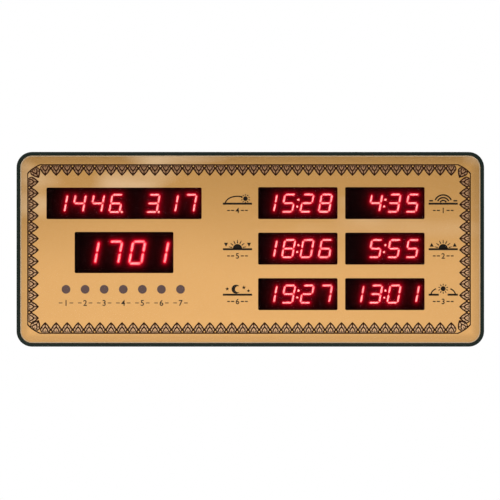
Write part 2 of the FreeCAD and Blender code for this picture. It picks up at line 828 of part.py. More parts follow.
def screw_tubes():
    """Tubes that reach from the rear wall to the frame's bosses, counterbored for the heads."""
    standing = [padded("screw_tubes", wall_middle, "boss_back",
                       lambda sketch: circles(sketch, case_screw_places, "tube_diameter"))]
    removed = [padded("head_room", "0", "screw_seat",
                      lambda sketch: circles(sketch, case_screw_places, "counterbore")),
               padded("screw_bores", "0", "boss_back + overshoot",
                      lambda sketch: circles(sketch, case_screw_places, "case_screw_bore"))]
    return standing, removed


def posts(name, places, front):
    """Posts with blind pilot holes that carry a board at the given depth."""
    standing = [padded(name, wall_middle, front,
                       lambda sketch: circles(sketch, places, "post_diameter"))]
    removed = [padded(name + "_pilots", front + " - inner_pilot_depth", front + " + overshoot",
                      lambda sketch: circles(sketch, places, "inner_pilot"))]
    return standing, removed


def key_recess():
    """A shallow tray in the rear wall with one hole for each push button."""
    standing = [padded("key_walls", wall_middle, "key_floor_front", lambda sketch: rounded_rectangle(
        sketch, "key_x", "key_z", "key_recess_width + 2 * shell_wall",
        "key_recess_height + 2 * shell_wall", "key_recess_corner + shell_wall"))]
    hole_places = [(x, "key_z") for x in key_places]
    removed = [padded("key_tray", "-overshoot", "key_recess_depth", lambda sketch: rounded_rectangle(
        sketch, "key_x", "key_z", "key_recess_width", "key_recess_height", "key_recess_corner")),
        padded("key_holes", "0", "key_floor_front + overshoot", lambda sketch: circles(
            sketch, hole_places, "button_diameter + 2 * button_clearance"))]
    return standing, removed


def compartment():
    """The battery compartment: door recess, hinge hole, round well, notch and contact slots."""
    standing = [padded("compartment_walls", wall_middle, "compartment_front", lambda sketch: rectangle(
        sketch, "door_x", "door_z", "door_recess_width + 2 * compartment_wall",
        "door_recess_height + 2 * compartment_wall"))]
    hinge = new_body("hinge_hole")
    hinge_sketch = new_sketch(hinge, "door_x", role="YZ_Plane")
    circle(hinge_sketch, "-hinge_depth", "hinge_z", "door_pin + 2 * door_pin_clearance")
    pad(hinge, hinge_sketch, "door_width + 2 * door_pin_reach + 2 * door_clearance", both_ways=True)
    removed = [
        hinge,
        padded("door_recess", "-overshoot", "door_recess_depth", lambda sketch: rectangle(
            sketch, "door_x", "door_z", "door_recess_width", "door_recess_height")),
        padded("cell_well", "0", "well_front", lambda sketch: circle(
            sketch, "door_x", "door_z", "well_diameter")),
        padded("door_notch", "-overshoot", "notch_depth", lambda sketch: rounded_rectangle(
            sketch, "door_x", "door_z + door_recess_height / 2", "notch_width", "2 * notch_height",
            "notch_height / 2")),
    ]
    for number, slot_x in enumerate(contact_slot_places):
        removed.append(block("contact_slot_%d" % number, slot_x, "door_z", "3 * contact_thickness",
                             "contact_width + 2 * contact_thickness", "well_front - overshoot",
                             "compartment_front + overshoot"))
    return standing, removed


def hangers():
    """Keyholes for two wall screws, each under a hood that keeps the screw head in."""
    centre_z = "hanger_z + hanger_rise / 2"
    standing = []
    removed = []
    for side, x in zip(("left", "right"), hanger_places):
        standing.append(padded(side + "_hood", wall_middle, "hood_front", lambda sketch: rounded_rectangle(
            sketch, x, centre_z, "hood_width", "hood_height", "hood_clearance + hood_wall")))
        removed.append(padded(side + "_hood_space", "shell_wall", "shell_wall + hood_space",
                              lambda sketch: rounded_rectangle(
                                  sketch, x, centre_z, "hood_width - 2 * hood_wall",
                                  "hood_height - 2 * hood_wall", "hood_clearance")))
        removed.append(rod(side + "_entry", x, "hanger_z", "hanger_entry",
                           "-overshoot", "shell_wall + overshoot"))
        removed.append(padded(side + "_slot", "-overshoot", "shell_wall + overshoot",
                              lambda sketch: upright_slot(
                                  sketch, x, "hanger_z", "hanger_slot", "hanger_rise")))
    return standing, removed


def speaker_seat():
    """A raised ring for the speaker's flange, around a grille of small round holes."""
    def draw_ring(sketch):
        circle(sketch, "speaker_x", "speaker_z", "speaker_diameter + 2 * speaker_ring_margin")
        circle(sketch, "speaker_x", "speaker_z", "speaker_diameter - 2 * speaker_flange_width")

    standing = [padded("speaker_ring", wall_middle, "speaker_back", draw_ring)]
    removed = [padded("speaker_pilots", "speaker_back - speaker_pilot_depth", "speaker_back + overshoot",
                      lambda sketch: circles(sketch, speaker_screw_places, "inner_pilot")),
               padded("grille_holes", "-overshoot", "shell_wall + overshoot",
                      lambda sketch: circles(sketch, grille_places(), "grille_hole"))]
    return standing, removed


def grille_places():
    """A hole in the middle and three rings of six, twelve and eighteen around it."""
    places = [("speaker_x", "speaker_z")]
    for ring in (1, 2, 3):
        for hole in range(6 * ring):
            angle = 60.0 / ring * hole
            places.append(("speaker_x + %d * grille_step * cos(%g)" % (ring, angle),
                           "speaker_z + %d * grille_step * sin(%g)" % (ring, angle)))
    return places


def jack_seat():
    """A hole in the bottom wall for the power inlet, and a rib on each side of it."""
    standing = []
    for side, sign in (("left", "-"), ("right", "+")):
        standing.append(block(
            side + "_jack_rib", "jack_x %s (jack_width / 2 + jack_rib / 2 + bond_line)" % sign,
            "jack_inner_z + jack_length / 2 - shell_wall / 2", "jack_rib", "jack_length + shell_wall",
            wall_middle, "shell_wall + jack_rib_height"))
    removed = [upright_rod("jack_hole", "jack_x", "jack_depth", "jack_mouth_z - overshoot",
                           "jack_nose + 2 * jack_nose_clearance", "shell_wall + 2 * overshoot")]
    return standing, removed


def vents():
    """Rows of nine upright slots through the rear wall: two rows above the middle, one below."""
    removed = []
    for name, centre_x, low_z in (("left_vent", "-vent_x", "vent_high"),
                                  ("right_vent", "vent_x", "vent_high"),
                                  ("lower_vent", "vent_x", "vent_low")):
        slots = new_body(name)
        first = new_sketch(slots, "-overshoot")
        upright_slot(first, centre_x + " - 4 * vent_pitch", low_z, "vent_width", "vent_length")
        opened = pad(slots, first, "shell_wall + 2 * overshoot")
        pattern(slots, "LinearPattern", [opened], (first, ["H_Axis"]), 9, length="8 * vent_pitch")
        removed.append(slots)
    return [], removed


def label_plate():
    """A shallow bare recess where a rating label would be stuck."""
    return [], [padded("label_recess", "-overshoot", "label_depth", lambda sketch: rounded_rectangle(
        sketch, "label_x", "0", "label_width", "label_height", "window_corner"))]


def make_rear_shell():
    """A tray that nests in the frame and carries everything behind the displays."""
    standing = [make_tray()]
    removed = []
    board_posts = posts("board_posts", left_post_places + right_post_places, "board_back")
    key_posts = posts("key_posts", key_post_places, "switch_front")
    for added, taken in (screw_tubes(), board_posts, key_posts, key_recess(), compartment(), hangers(),
                         speaker_seat(), jack_seat(), vents(), label_plate()):
        standing += added
        removed += taken
    without("rear_shell", fused("shell_standing", standing), grouped("shell_removed", removed))


# ---------------------------------------------------------------------------------------------
# LED displays: housings, segments and pins
# ---------------------------------------------------------------------------------------------
def bar_corners(x, z, length, thickness, upright):
    """The six corners of one pointed segment."""
    half = length / 2
    point = thickness / 2
    corners = [(-half, 0), (point - half, point), (half - point, point),
               (half, 0), (half - point, -point), (point - half, -point)]
    if upright:
        return [(x + across, z + along) for along, across in corners]
    return [(x + along, z + across) for along, across in corners]


def digit_bars(kind):
    """Corners of the seven bars of one digit about its own centre, before the slant."""
    width = value(kind + "_digit_width")
    height = value(kind + "_digit_height")
    thickness = value(kind + "_segment")
    mitre = 2 * value("segment_mitre")
    bars = [bar_corners(0, z, width - mitre, thickness, False) for z in (height / 2, 0, -height / 2)]
    for x in (-width / 2, width / 2):
        for z in (-height / 4, height / 4):
            bars.append(bar_corners(x, z, height / 2 - mitre, thickness, True))
    return bars


def round_marks(kind, mark):
    """Centres of the round marks: a point after each digit, or one colon in the middle."""
    pitch = value(kind + "_pitch")
    height = value(kind + "_digit_height")
    if mark == "colon":
        return [(0, height / 5), (0, -height / 5)]
    beside = value(kind + "_digit_width") / 2 + value(kind + "_segment")
    return [((place_number - 1.5) * pitch + beside, -height / 2) for place_number in range(4)]


def segment_solids(kind, mark):
    """All lit areas of a four-digit display as separate prisms, front faces at y = 0."""
    slant = math.tan(math.radians(value("digit_slant")))
    back = Vector(0, value("segment_depth"), 0)
    solids = []
    for place_number in range(4):
        centre = (place_number - 1.5) * value(kind + "_pitch")
        for corners in digit_bars(kind):
            points = [Vector(centre + x + z * slant, 0, z) for x, z in corners]
            outline = Part.makePolygon(points + points[:1])
            solids.append(Part.Face(outline).extrude(back))
    radius = value(kind + "_segment") / 2
    for x, z in round_marks(kind, mark):
        solids.append(Part.makeCylinder(radius, back.y, Vector(x + z * slant, 0, z), Vector(0, 1, 0)))
    return solids


def make_display(name, x, z, kind, mark):
    """One four-digit module: a housing with pockets, and the clear bars that fill them."""
    front = "board_front + %s_module_depth" % kind
    segments = doc.addObject("Part::Feature", name + "_segments")
    segments.Shape = Part.makeCompound(segment_solids(kind, mark))
    place(segments, x, front, z)
    case = block(name + "_blank", x, z, "4 * %s_pitch" % kind, kind + "_module_height", "board_front", front)
    without(name + "_display", case, segments)


def pin_rods(displays, diameter, back, front):
    """Rods through every pin place of the given (x, z, kind) displays, between two depths."""
    rods = []
    for x, z, kind in displays:
        row = value(kind + "_module_height") / 2 - value("pin_row_inset")
        for side in (-1, 1):
            for pin in range(6):
                pin_x = value(x) + (pin - 2.5) * value("pin_pitch")
                foot = Vector(pin_x, -value(back), value(z) + side * row)
                length = value("%s - (%s)" % (front, back))
                rods.append(Part.makeCylinder(value(diameter) / 2, length, foot, Vector(0, -1, 0)))
    return rods


left_pin_displays = [(x, z, "small") for x, z in date_displays.values()] + [("time_x", "time_z", "main")]
right_pin_displays = [(x, z, "small") for x, z in prayer_displays.values()]


def make_displays():
    for name, (x, z) in date_displays.items():
        make_display(name, x, z, "small", "point")
    make_display("time", "time_x", "time_z", "main", "colon")
    for name, (x, z) in prayer_displays.items():
        make_display(name, x, z, "small", "colon")
    pins = doc.addObject("Part::Feature", "display_pins")
    pins.Shape = Part.makeCompound(pin_rods(left_pin_displays + right_pin_displays, "pin_diameter",
                                            "board_back - pin_tail", "board_front"))


def make_weekday_leds():
    lamps = []
    for number in range(7):
        x = "weekday_x + %d * weekday_pitch" % (number - 3)
        name = "lamp_%d" % number
        flange = rod(name + "_flange", x, "weekday_z", "2 * (lamp_radius + lamp_flange)",
                     "board_front", "board_front + lamp_flange_height")
        barrel = rod(name + "_barrel", x, "weekday_z", "2 * lamp_radius",
                     "board_front", "board_front + lamp_height - lamp_radius")
        dome = doc.addObject("Part::Sphere", name + "_dome")
        dome.setExpression("Radius", bound("lamp_radius"))
        place(dome, x, "board_front + lamp_height - lamp_radius", "weekday_z")
        lamps.append(fused(name, [flange, barrel, dome]))
    grouped("weekday_leds", lamps)


# ---------------------------------------------------------------------------------------------
# Boards and the parts on them
# ---------------------------------------------------------------------------------------------
def make_board(label, x, z, width, height, screw_places, displays):
    blank = new_body(label + "_blank")
    outline = new_sketch(blank, "board_back")
    rounded_rectangle(outline, x, z, width, height, "board_corner")
    pad(blank, outline, "board_thickness")
    screw_holes = new_sketch(blank, "board_back")
    circles(screw_holes, screw_places, "inner_screw_bore")
    pocket(blank, screw_holes, "board_thickness")
    holes = doc.addObject("Part::Feature", label + "_pin_holes")
    holes.Shape = Part.makeCompound(pin_rods(displays, "pin_hole",
                                             "board_back - overshoot", "board_front + overshoot"))
    without(label, blank, holes)


def make_key_board():
    board = new_body("key_board")
    outline = new_sketch(board, "switch_front")
    rounded_rectangle(outline, "key_x", "key_z", "key_board_width", "key_board_height", "board_corner")
    pad(board, outline, "key_board_thickness")
    holes = new_sketch(board, "switch_front")
    circles(holes, key_post_places, "inner_screw_bore")
    pocket(board, holes, "key_board_thickness")


def make_chip(label, x, z, legs_on_side):
    """A chip on the rear face of a board, with a row of legs along each long side."""
    chip = new_body(label)
    length = "(%d * leg_pitch)" % (legs_on_side + 1)
    moulding = new_sketch(chip, "-chip_standoff")
    rectangle(moulding, "0", "0", length, "chip_width")
    pad(chip, moulding, "chip_height", backward=True)
    legs = new_sketch(chip)
    for side in "-+":
        rectangle(legs, "-%d * leg_pitch / 2" % (legs_on_side - 1),
                  "%s (chip_width + leg_reach) / 2" % side, "leg_width", "leg_reach")
    first = pad(chip, legs, "chip_standoff + chip_height / 2", backward=True)
    pattern(chip, "LinearPattern", [first], (legs, ["H_Axis"]), legs_on_side,
            length="%d * leg_pitch" % (legs_on_side - 1))
    place(chip, x, "board_back", z)
    return chip


def make_board_parts():
    """The parts soldered to the rear faces of the two display boards."""
    make_chip("microcontroller", "left_board_x - controller_offset", "chip_band_z", 14)
    make_chip("audio_chip", "prayer_x + audio_chip_offset", "prayer_z - prayer_row_pitch / 2", 8)
    drivers = [
        make_chip("left_driver", "left_board_x - left_driver_offset", "chip_band_z", 12),
        make_chip("upper_driver", "prayer_x", "prayer_z + prayer_row_pitch / 2", 12),
        make_chip("lower_driver", "prayer_x", "prayer_z - prayer_row_pitch / 2", 12),
    ]
    grouped("driver_chips", drivers)
    crystal = new_body("crystal")
    can = new_sketch(crystal)
    rounded_rectangle(can, "0", "0", "crystal_length", "crystal_width", "crystal_width / 2 - bond_line")
    pad(crystal, can, "crystal_height", backward=True)
    place(crystal, "left_board_x - crystal_offset", "board_back", "chip_band_z")
    cans = []
    for number in range(3):
        x = "left_board_x - left_board_width / 2 + capacitor_inset + %d * capacitor_pitch" % number
        cans.append(rod("capacitor_%d" % number, x, "weekday_z + capacitor_rise", "capacitor_diameter",
                        "board_back - capacitor_height", "board_back"))
    grouped("capacitors", cans)
    make_regulator()


def make_regulator():
    x = "left_board_x + left_board_width / 2 - regulator_inset"
    z = "weekday_z + regulator_rise"
    tab = block("regulator_plate", x, z, "regulator_width", "regulator_length",
                "board_back - regulator_tab", "board_back")
    case = block("regulator_case", x, z + " - regulator_length / 5", "regulator_width",
                 "3 * regulator_length / 5", "board_back - regulator_height", "board_back")
    hole = rod("regulator_hole", x, z + " + 3 * regulator_length / 10", "regulator_width / 3",
               "board_back - regulator_height", "board_back")
    without("regulator", fused("regulator_blank", [tab, case]), hole)


# ---------------------------------------------------------------------------------------------
# Push buttons, switches and battery compartment
# ---------------------------------------------------------------------------------------------
def make_button(name, x):
    """A round cap with a flange behind the wall, and the switch plunger it pushes."""
    radius = "button_diameter / 2"
    revolved(name + "_button", [
        ("0", "button_below_back"),
        (radius + " - button_edge", "button_below_back"),
        (radius, "button_below_back + button_edge"),
        (radius, "button_flange_back"),
        ("button_flange / 2", "button_flange_back"),
        ("button_flange / 2", "button_front"),
        ("0", "button_front"),
    ], x, "key_z")
    rod(name + "_plunger", x, "key_z", "plunger_diameter", "button_front", "plunger_front")


def make_keys():
    switches = []
    for name, x in zip(["menu", "down", "up", "display"], key_places):
        make_button(name, x)
        case = block(name + "_switch_blank", x, "key_z", "switch_width", "switch_width",
                     "switch_back", "switch_front")
        well = rod(name + "_switch_well", x, "key_z", "plunger_diameter + 2 * plunger_clearance",
                   "switch_back", "switch_back + plunger_well")
        switches.append(without(name + "_switch", case, well))
    grouped("switch_bodies", switches)


def make_battery_door():
    """A flap with a full-round lower edge and a hinge pin at each end of it."""
    door = new_body("battery_door")
    plate = new_sketch(door, role="YZ_Plane")
    rectangle(plate, "0", "(door_height - door_thickness / 2) / 2", "door_thickness",
              "door_height - door_thickness / 2")
    pad(door, plate, "door_width", both_ways=True)
    barrel = new_sketch(door, role="YZ_Plane")
    circle(barrel, "0", "0", "door_thickness")
    pad(door, barrel, "door_width", both_ways=True)
    pins = new_sketch(door, role="YZ_Plane")
    circle(pins, "0", "0", "door_pin")
    pad(door, pins, "door_width + 2 * door_pin_reach", both_ways=True)
    place(door, "door_x", "hinge_depth", "hinge_z")


def make_cell():
    revolved("coin_cell", [
        ("0", "cell_back"),
        ("cell_diameter / 2 - bond_line", "cell_back"),
        ("cell_diameter / 2", "cell_back + bond_line"),
        ("cell_diameter / 2", "cell_front - cell_thickness / 3"),
        ("cell_diameter / 2 - cell_rim", "cell_front"),
        ("0", "cell_front"),
    ], "door_x", "door_z")
    flat_slot, rim_slot = contact_slot_places
    strip = block("flat_strip", flat_slot + " + cell_diameter / 4", "door_z", "cell_diameter / 2",
                  "contact_width", "well_front - contact_thickness", "well_front")
    flat_leg = block("flat_leg", flat_slot, "door_z", "contact_thickness", "contact_width",
                     "well_front - contact_thickness", "board_back")
    rim_leg = block("rim_leg", rim_slot, "door_z", "contact_thickness", "contact_width",
                    "cell_back", "board_back")
    grouped("cell_contacts", [fused("flat_contact", [strip, flat_leg]), rim_leg])


# ---------------------------------------------------------------------------------------------
# Speaker and power inlet
# ---------------------------------------------------------------------------------------------
def make_speaker():
    inner = "speaker_diameter / 2 - speaker_flange_width"
    coil = "speaker_coil / 2"
    basket = revolved("speaker_basket", [
        (inner, "speaker_back"),
        ("speaker_diameter / 2", "speaker_back"),
        ("speaker_diameter / 2", "speaker_flange_front"),
        (inner + " + speaker_sheet", "speaker_flange_front"),
        ("speaker_magnet_diameter / 2", "magnet_back"),
        (coil + " + speaker_coil_wall + speaker_coil_gap", "magnet_back"),
        (coil + " + speaker_coil_wall + speaker_coil_gap", "magnet_back - speaker_sheet"),
        ("speaker_magnet_diameter / 2 - speaker_sheet", "magnet_back - speaker_sheet"),
        (inner, "speaker_flange_front"),
    ], "speaker_x", "speaker_z")
    hole = new_sketch(basket, "speaker_back")
    circle(hole, "speaker_screw_pitch / 2 * cos(45)", "speaker_screw_pitch / 2 * sin(45)",
           "inner_screw_bore")
    opened = pocket(basket, hole, "speaker_flange_thickness")
    pattern(basket, "PolarPattern", [opened], (hole, ["N_Axis"]), 4, angle=360)
    groove_floor = "magnet_back + speaker_coil_reach + speaker_coil_gap"
    revolved("speaker_magnet", [
        ("0", "magnet_back"),
        (coil + " - speaker_coil_gap", "magnet_back"),
        (coil + " - speaker_coil_gap", groove_floor),
        (coil + " + speaker_coil_wall + speaker_coil_gap", groove_floor),
        (coil + " + speaker_coil_wall + speaker_coil_gap", "magnet_back"),
        ("speaker_magnet_diameter / 2", "magnet_back"),
        ("speaker_magnet_diameter / 2", "magnet_back + speaker_magnet_depth"),
        ("0", "magnet_back + speaker_magnet_depth"),
    ], "speaker_x", "speaker_z")
    rim = inner + " - speaker_coil_gap"
    revolved("speaker_cone", [
        ("0", "speaker_back + speaker_cone_depth - speaker_cone_sheet"),
        (coil, "speaker_back + speaker_cone_depth"),
        (rim, "speaker_back + bond_line"),
        (rim, "speaker_back + bond_line + speaker_cone_sheet"),
        (coil + " + speaker_coil_wall", "speaker_back + speaker_cone_depth + speaker_cone_sheet"),
        (coil + " + speaker_coil_wall", "magnet_back + speaker_coil_reach"),
        (coil, "magnet_back + speaker_coil_reach"),
        (coil, "speaker_back + speaker_cone_depth + speaker_cone_sheet"),
        ("0", "speaker_back + speaker_cone_depth"),
    ], "speaker_x", "speaker_z")


def make_jack():
    """The power inlet: a block whose round nose fills the hole in the bottom wall."""
    case = block("jack_block", "jack_x", "jack_inner_z + jack_length / 2", "jack_width", "jack_length",
                 "shell_wall", "shell_wall + jack_width")
    nose = upright_rod("jack_nose_rod", "jack_x", "jack_depth", "jack_mouth_z", "jack_nose",
                       "shell_wall + overshoot")
    bore = upright_rod("jack_bore_rod", "jack_x", "jack_depth", "jack_mouth_z", "jack_bore",
                       "jack_bore_depth")
    without("jack_housing", fused("jack_blank", [case, nose]), bore)
    upright_rod("jack_pin", "jack_x", "jack_depth", "jack_mouth_z + jack_pin_short", "jack_pin_diameter",
                "jack_bore_depth - jack_pin_short")


# ---------------------------------------------------------------------------------------------
# Screws and cables
# ---------------------------------------------------------------------------------------------
def make_screw(name, x, z, head_back, head_front, head_diameter, thread, shank_from, shank_to, drive_from):
    """One screw: head, shank and a round drive recess in the head."""
    head = rod(name + "_head", x, z, head_diameter, head_back, head_front)
    shank = rod(name + "_shank", x, z, thread, shank_from, shank_to)
    drive_back, drive_front = drive_from
    drive = rod(name + "_drive", x, z, head_diameter + " / 3", drive_back, drive_front)
    return without(name, fused(name + "_blank", [head, shank]), drive)


def make_case_screws():
    screws = []
    for number, (x, z) in enumerate(case_screw_places):
        screws.append(make_screw(
            "case_screw_%d" % number, x, z, "screw_seat - case_screw_head_height", "screw_seat",
            "case_screw_head", "case_screw_thread", "screw_seat", "boss_back + case_screw_reach",
            ("screw_seat - case_screw_head_height", "screw_seat - case_screw_head_height + drive_recess")))
    grouped("case_screws", screws)


def make_inner_screws(label, places_and_seats, length):
    """Screws driven toward the wall, each with its head on the front face at its seat depth."""
    screws = []
    for number, (x, z, seat) in enumerate(places_and_seats):
        top = seat + " + inner_screw_head_height"
        screws.append(make_screw(
            "%s_%d" % (label, number), x, z, seat, top, "inner_screw_head", "inner_screw_thread",
            "%s - %s" % (seat, length), seat, (top + " - drive_recess", top)))
    grouped(label, screws)


def make_fasteners():
    make_case_screws()
    seats = [(x, z, "board_front") for x, z in left_post_places + right_post_places]
    seats += [(x, z, "key_board_front") for x, z in key_post_places]
    make_inner_screws("board_screws", seats, "inner_screw_length")
    seats = [(x, z, "speaker_flange_front") for x, z in speaker_screw_places]
    make_inner_screws("speaker_screws", seats, "speaker_screw_length")


def wire_tube(points, diameter):
    """A round wire along straight runs joined by tangent arcs as large as the runs allow."""
    edges = []
    start = points[0]
    for before, corner, after in zip(points, points[1:], points[2:]):
        into = (corner - before).normalize()
        out = (after - corner).normalize()
        turn = into.getAngle(out)
        setback = 0.45 * min(before.distanceToPoint(corner), corner.distanceToPoint(after))
        radius = setback / math.tan(turn / 2)
        arc_start = corner - into * setback
        arc_end = corner + out * setback
        toward_centre = (out - into).normalize()
        middle = corner + toward_centre * (radius / math.cos(turn / 2) - radius)
        edges.append(Part.LineSegment(start, arc_start).toShape())
        edges.append(Part.Arc(arc_start, middle, arc_end).toShape())
        start = arc_end
    edges.append(Part.LineSegment(start, points[-1]).toShape())
    heading = (points[1] - points[0]).normalize()
    section = Part.Wire(Part.Circle(points[0], heading, diameter / 2).toShape())
    tube = Part.Wire(edges).makePipeShell([section], True, True)
    return tube


def at(x, depth, z):
    return Vector(value(x), -value(depth), value(z))


def make_leads(label, routes):
    leads = doc.addObject("Part::Feature", label)
    leads.Shape = Part.makeCompound([wire_tube(route, value("wire_diameter")) for route in routes])


def make_cables():
    run_depth = "speaker_flange_front + (board_back - speaker_flange_front) / 2"
    flange_x = "speaker_x - speaker_diameter / 2 + speaker_flange_width / 2"
    routes = []
    for side in (-1, 1):
        z = "speaker_z + %d * speaker_flange_width / 2" % side
        board_x = flange_x + " - cable_drop"
        routes.append([at(flange_x, "speaker_flange_front", z), at(flange_x, run_depth, z),
                       at(board_x, run_depth, z), at(board_x, "board_back", z)])
    make_leads("speaker_leads", routes)
    routes = []
    for side in (-1, 1):
        x = "jack_x + %d * jack_width / 4" % side
        z = "weekday_z + %d * jack_width / 4" % side
        board_x = "left_board_right - cable_drop + %d * jack_width / 4" % side
        routes.append([at(x, "jack_depth", "jack_inner_z + jack_length"), at(x, "jack_depth", z),
                       at(board_x, "jack_depth", z), at(board_x, "board_back", z)])
    make_leads("power_leads", routes)
    make_ribbons()


def make_ribbons():
    """Two flat cables, each with a plug at both ends."""
    left_x = "left_board_right - plug_width"
    right_x = "right_board_left + plug_width"
    pieces = []
    for side, x in (("left", left_x), ("right", right_x)):
        pieces.append(block(side + "_plug", x, "chip_band_z", "plug_width",
                            "ribbon_width + 2 * plug_margin",
                            "board_back - plug_depth", "board_back"))
    span = block("link_ribbon", "(%s + %s) / 2" % (left_x, right_x), "chip_band_z",
                 "(%s) - (%s)" % (right_x, left_x), "ribbon_width",
                 "ribbon_depth - ribbon_thickness / 2", "ribbon_depth + ribbon_thickness / 2")
    link_cable = fused("link_cable", pieces + [span])
    key_plug_z = "key_z + plug_width / 4"
    board_plug_z = "left_board_bottom + plug_width"
    key_plug = block("key_plug", "key_x", key_plug_z, "ribbon_width + 2 * plug_margin", "plug_width / 2",
                     "key_board_front", "board_back - ribbon_thickness")
    board_plug = block("board_plug", "key_x", board_plug_z, "ribbon_width + 2 * plug_margin",
                       "plug_width / 2", "key_board_front", "board_back")
    middle = "(key_board_front + board_back - ribbon_thickness) / 2"
    strip = block("key_ribbon", "key_x", "(%s + %s) / 2" % (key_plug_z, board_plug_z), "ribbon_width",
                  "%s - (%s)" % (board_plug_z, key_plug_z), middle + " - ribbon_thickness / 2",
                  middle + " + ribbon_thickness / 2")
    key_cable = fused("key_cable", [key_plug, board_plug, strip])
    grouped("ribbon_cables", [link_cable, key_cable])


# ---------------------------------------------------------------------------------------------
# Build, check and write
# ---------------------------------------------------------------------------------------------
def make_everything():
    make_front_frame()
    make_front_lens()
    make_printed_film()
    make_lens_tape()
    make_filters()
    make_rear_shell()
    make_displays()
    make_weekday_leds()
    make_board("left_board", "left_board_x", "left_board_z", "left_board_width", "left_board_height",
               left_post_places, left_pin_displays)
    make_board("right_board", "prayer_x", "prayer_z", "right_board_width", "right_board_height",
               right_post_places, right_pin_displays)
    make_key_board()
    make_board_parts()
    make_keys()
    make_battery_door()
    make_cell()
    make_speaker()
    make_jack()
    make_fasteners()
    make_cables()
    doc.recompute()


node_names = [
    "front_frame", "front_lens", "printed_film", "lens_tape", "left_red_filter", "right_red_filter",
    "weekday_diffuser", "rear_shell", "display_pins", "weekday_leds", "left_board", "right_board",
    "key_board", "microcontroller", "audio_chip", "driver_chips", "crystal", "capacitors", "regulator",
    "switch_bodies", "battery_door", "coin_cell", "cell_contacts", "speaker_basket", "speaker_magnet",
    "speaker_cone", "jack_housing", "jack_pin", "case_screws", "board_screws", "speaker_screws",
    "speaker_leads", "power_leads", "ribbon_cables",
]
for display_name in list(date_displays) + ["time"] + list(prayer_displays):
    node_names += [display_name + "_display", display_name + "_segments"]
for key_name in ("menu", "down", "up", "display"):
    node_names += [key_name + "_button", key_name + "_plunger"]


def check_document():
    """Stops the run when a feature failed or a pocket removed nothing."""
    for feature in doc.Objects:
        if "Invalid" in feature.State or "Error" in feature.State:
            raise RuntimeError("failed feature: " + feature.Name)
        if feature.TypeId == "PartDesign::Pocket" and not removed_something(feature, feature.BaseFeature):
            raise RuntimeError("this pocket cuts nothing: " + feature.Name)
        if feature.TypeId == "Part::Cut" and not removed_something(feature, feature.Base):
            raise RuntimeError("this cut removes nothing: " + feature.Name)


def removed_something(result, base):
    return result.Shape.Volume < base.Shape.Volume


def write_nodes():
    shapes = {}
    for name in node_names:
        shape = doc.getObject(name).Shape
        if shape.isNull() or not shape.isValid() or not shape.Solids:
            raise RuntimeError("not a valid solid: " + name)
        shapes[name] = shape
    for name, shape in shapes.items():
        shape.exportStep("parts/%s.step" % name)
        print("%-18s %3d solids %12.1f mm3" % (name, len(shape.Solids), shape.Volume))


make_everything()
check_document()
write_nodes()
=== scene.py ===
"""Looks of the wall-mounted prayer-time clock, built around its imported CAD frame.

Lengths are metres in the CAD frame: +X right, +Z up, and the display faces -Y.  "Depth" is the
distance in front of the wall, so a point at depth d has y = -d.
"""
import json
import math

import bmesh
import bpy
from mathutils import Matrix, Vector
from mathutils.geometry import tessellate_polygon


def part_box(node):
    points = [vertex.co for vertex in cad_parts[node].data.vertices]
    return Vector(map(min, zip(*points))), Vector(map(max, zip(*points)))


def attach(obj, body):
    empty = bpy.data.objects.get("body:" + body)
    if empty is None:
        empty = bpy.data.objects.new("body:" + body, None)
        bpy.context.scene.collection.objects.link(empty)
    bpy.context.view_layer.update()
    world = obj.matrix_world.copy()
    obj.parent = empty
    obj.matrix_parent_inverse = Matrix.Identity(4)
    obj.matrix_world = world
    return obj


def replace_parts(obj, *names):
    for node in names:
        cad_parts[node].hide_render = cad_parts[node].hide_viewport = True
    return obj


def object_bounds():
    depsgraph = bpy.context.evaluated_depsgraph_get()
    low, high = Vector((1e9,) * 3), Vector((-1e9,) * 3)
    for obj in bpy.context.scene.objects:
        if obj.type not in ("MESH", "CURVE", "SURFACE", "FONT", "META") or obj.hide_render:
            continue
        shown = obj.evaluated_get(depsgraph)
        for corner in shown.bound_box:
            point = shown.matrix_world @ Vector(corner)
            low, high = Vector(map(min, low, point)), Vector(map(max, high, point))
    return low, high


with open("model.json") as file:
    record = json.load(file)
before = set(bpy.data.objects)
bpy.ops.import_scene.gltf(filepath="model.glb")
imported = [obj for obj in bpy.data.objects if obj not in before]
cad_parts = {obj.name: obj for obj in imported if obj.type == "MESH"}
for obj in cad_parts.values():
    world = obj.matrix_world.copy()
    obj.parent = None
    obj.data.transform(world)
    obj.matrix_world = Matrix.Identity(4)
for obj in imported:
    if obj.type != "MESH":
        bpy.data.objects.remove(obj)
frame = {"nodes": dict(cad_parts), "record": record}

cad_low, cad_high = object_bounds()
MM = 0.001
scene = bpy.context.scene


# ---- Places taken from the frame ----

def node_centre(node):
    low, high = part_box(node)
    middle = (low + high) / 2
    return middle.x, middle.z


def front_of(node):
    """Depth of a node's foremost face."""
    return -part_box(node)[0].y


def back_of(node):
    return -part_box(node)[1].y


FILM_FRONT = front_of("printed_film")
LENS_BACK = back_of("front_lens")
FILTER_BACK = back_of("left_red_filter")
INK_FILL = (FILM_FRONT + 0.01 * MM, FILM_FRONT + 0.03 * MM)
INK_LINE = (FILM_FRONT + 0.05 * MM, LENS_BACK - 0.02 * MM)

# LED modules: pitch, digit size and bar width as in the CAD frame
SMALL = {"pitch": 18.9 * MM, "height": 17.7 * MM, "width": 10.6 * MM, "bar": 2.2 * MM}
MAIN = {"pitch": 23.8 * MM, "height": 22.5 * MM, "width": 12.4 * MM, "bar": 2.8 * MM}
SLANT = math.tan(math.radians(10.5))
MITRE = 0.35 * MM
SEGMENT_DEPTH = 2 * MM

# A module's four digits count from 0 to 3, so its middle is at 1.5
MIDDLE_DIGIT = 1.5
# The colon dots' height over the middle, as a share of the digit's
COLON_SHARE = 0.2
# Round marks: points on the rim, the bright heart's radius in bar widths, and its brightness
MARK_STEPS = 16
MARK_HEART = 0.38
MARK_CORE = 1.3

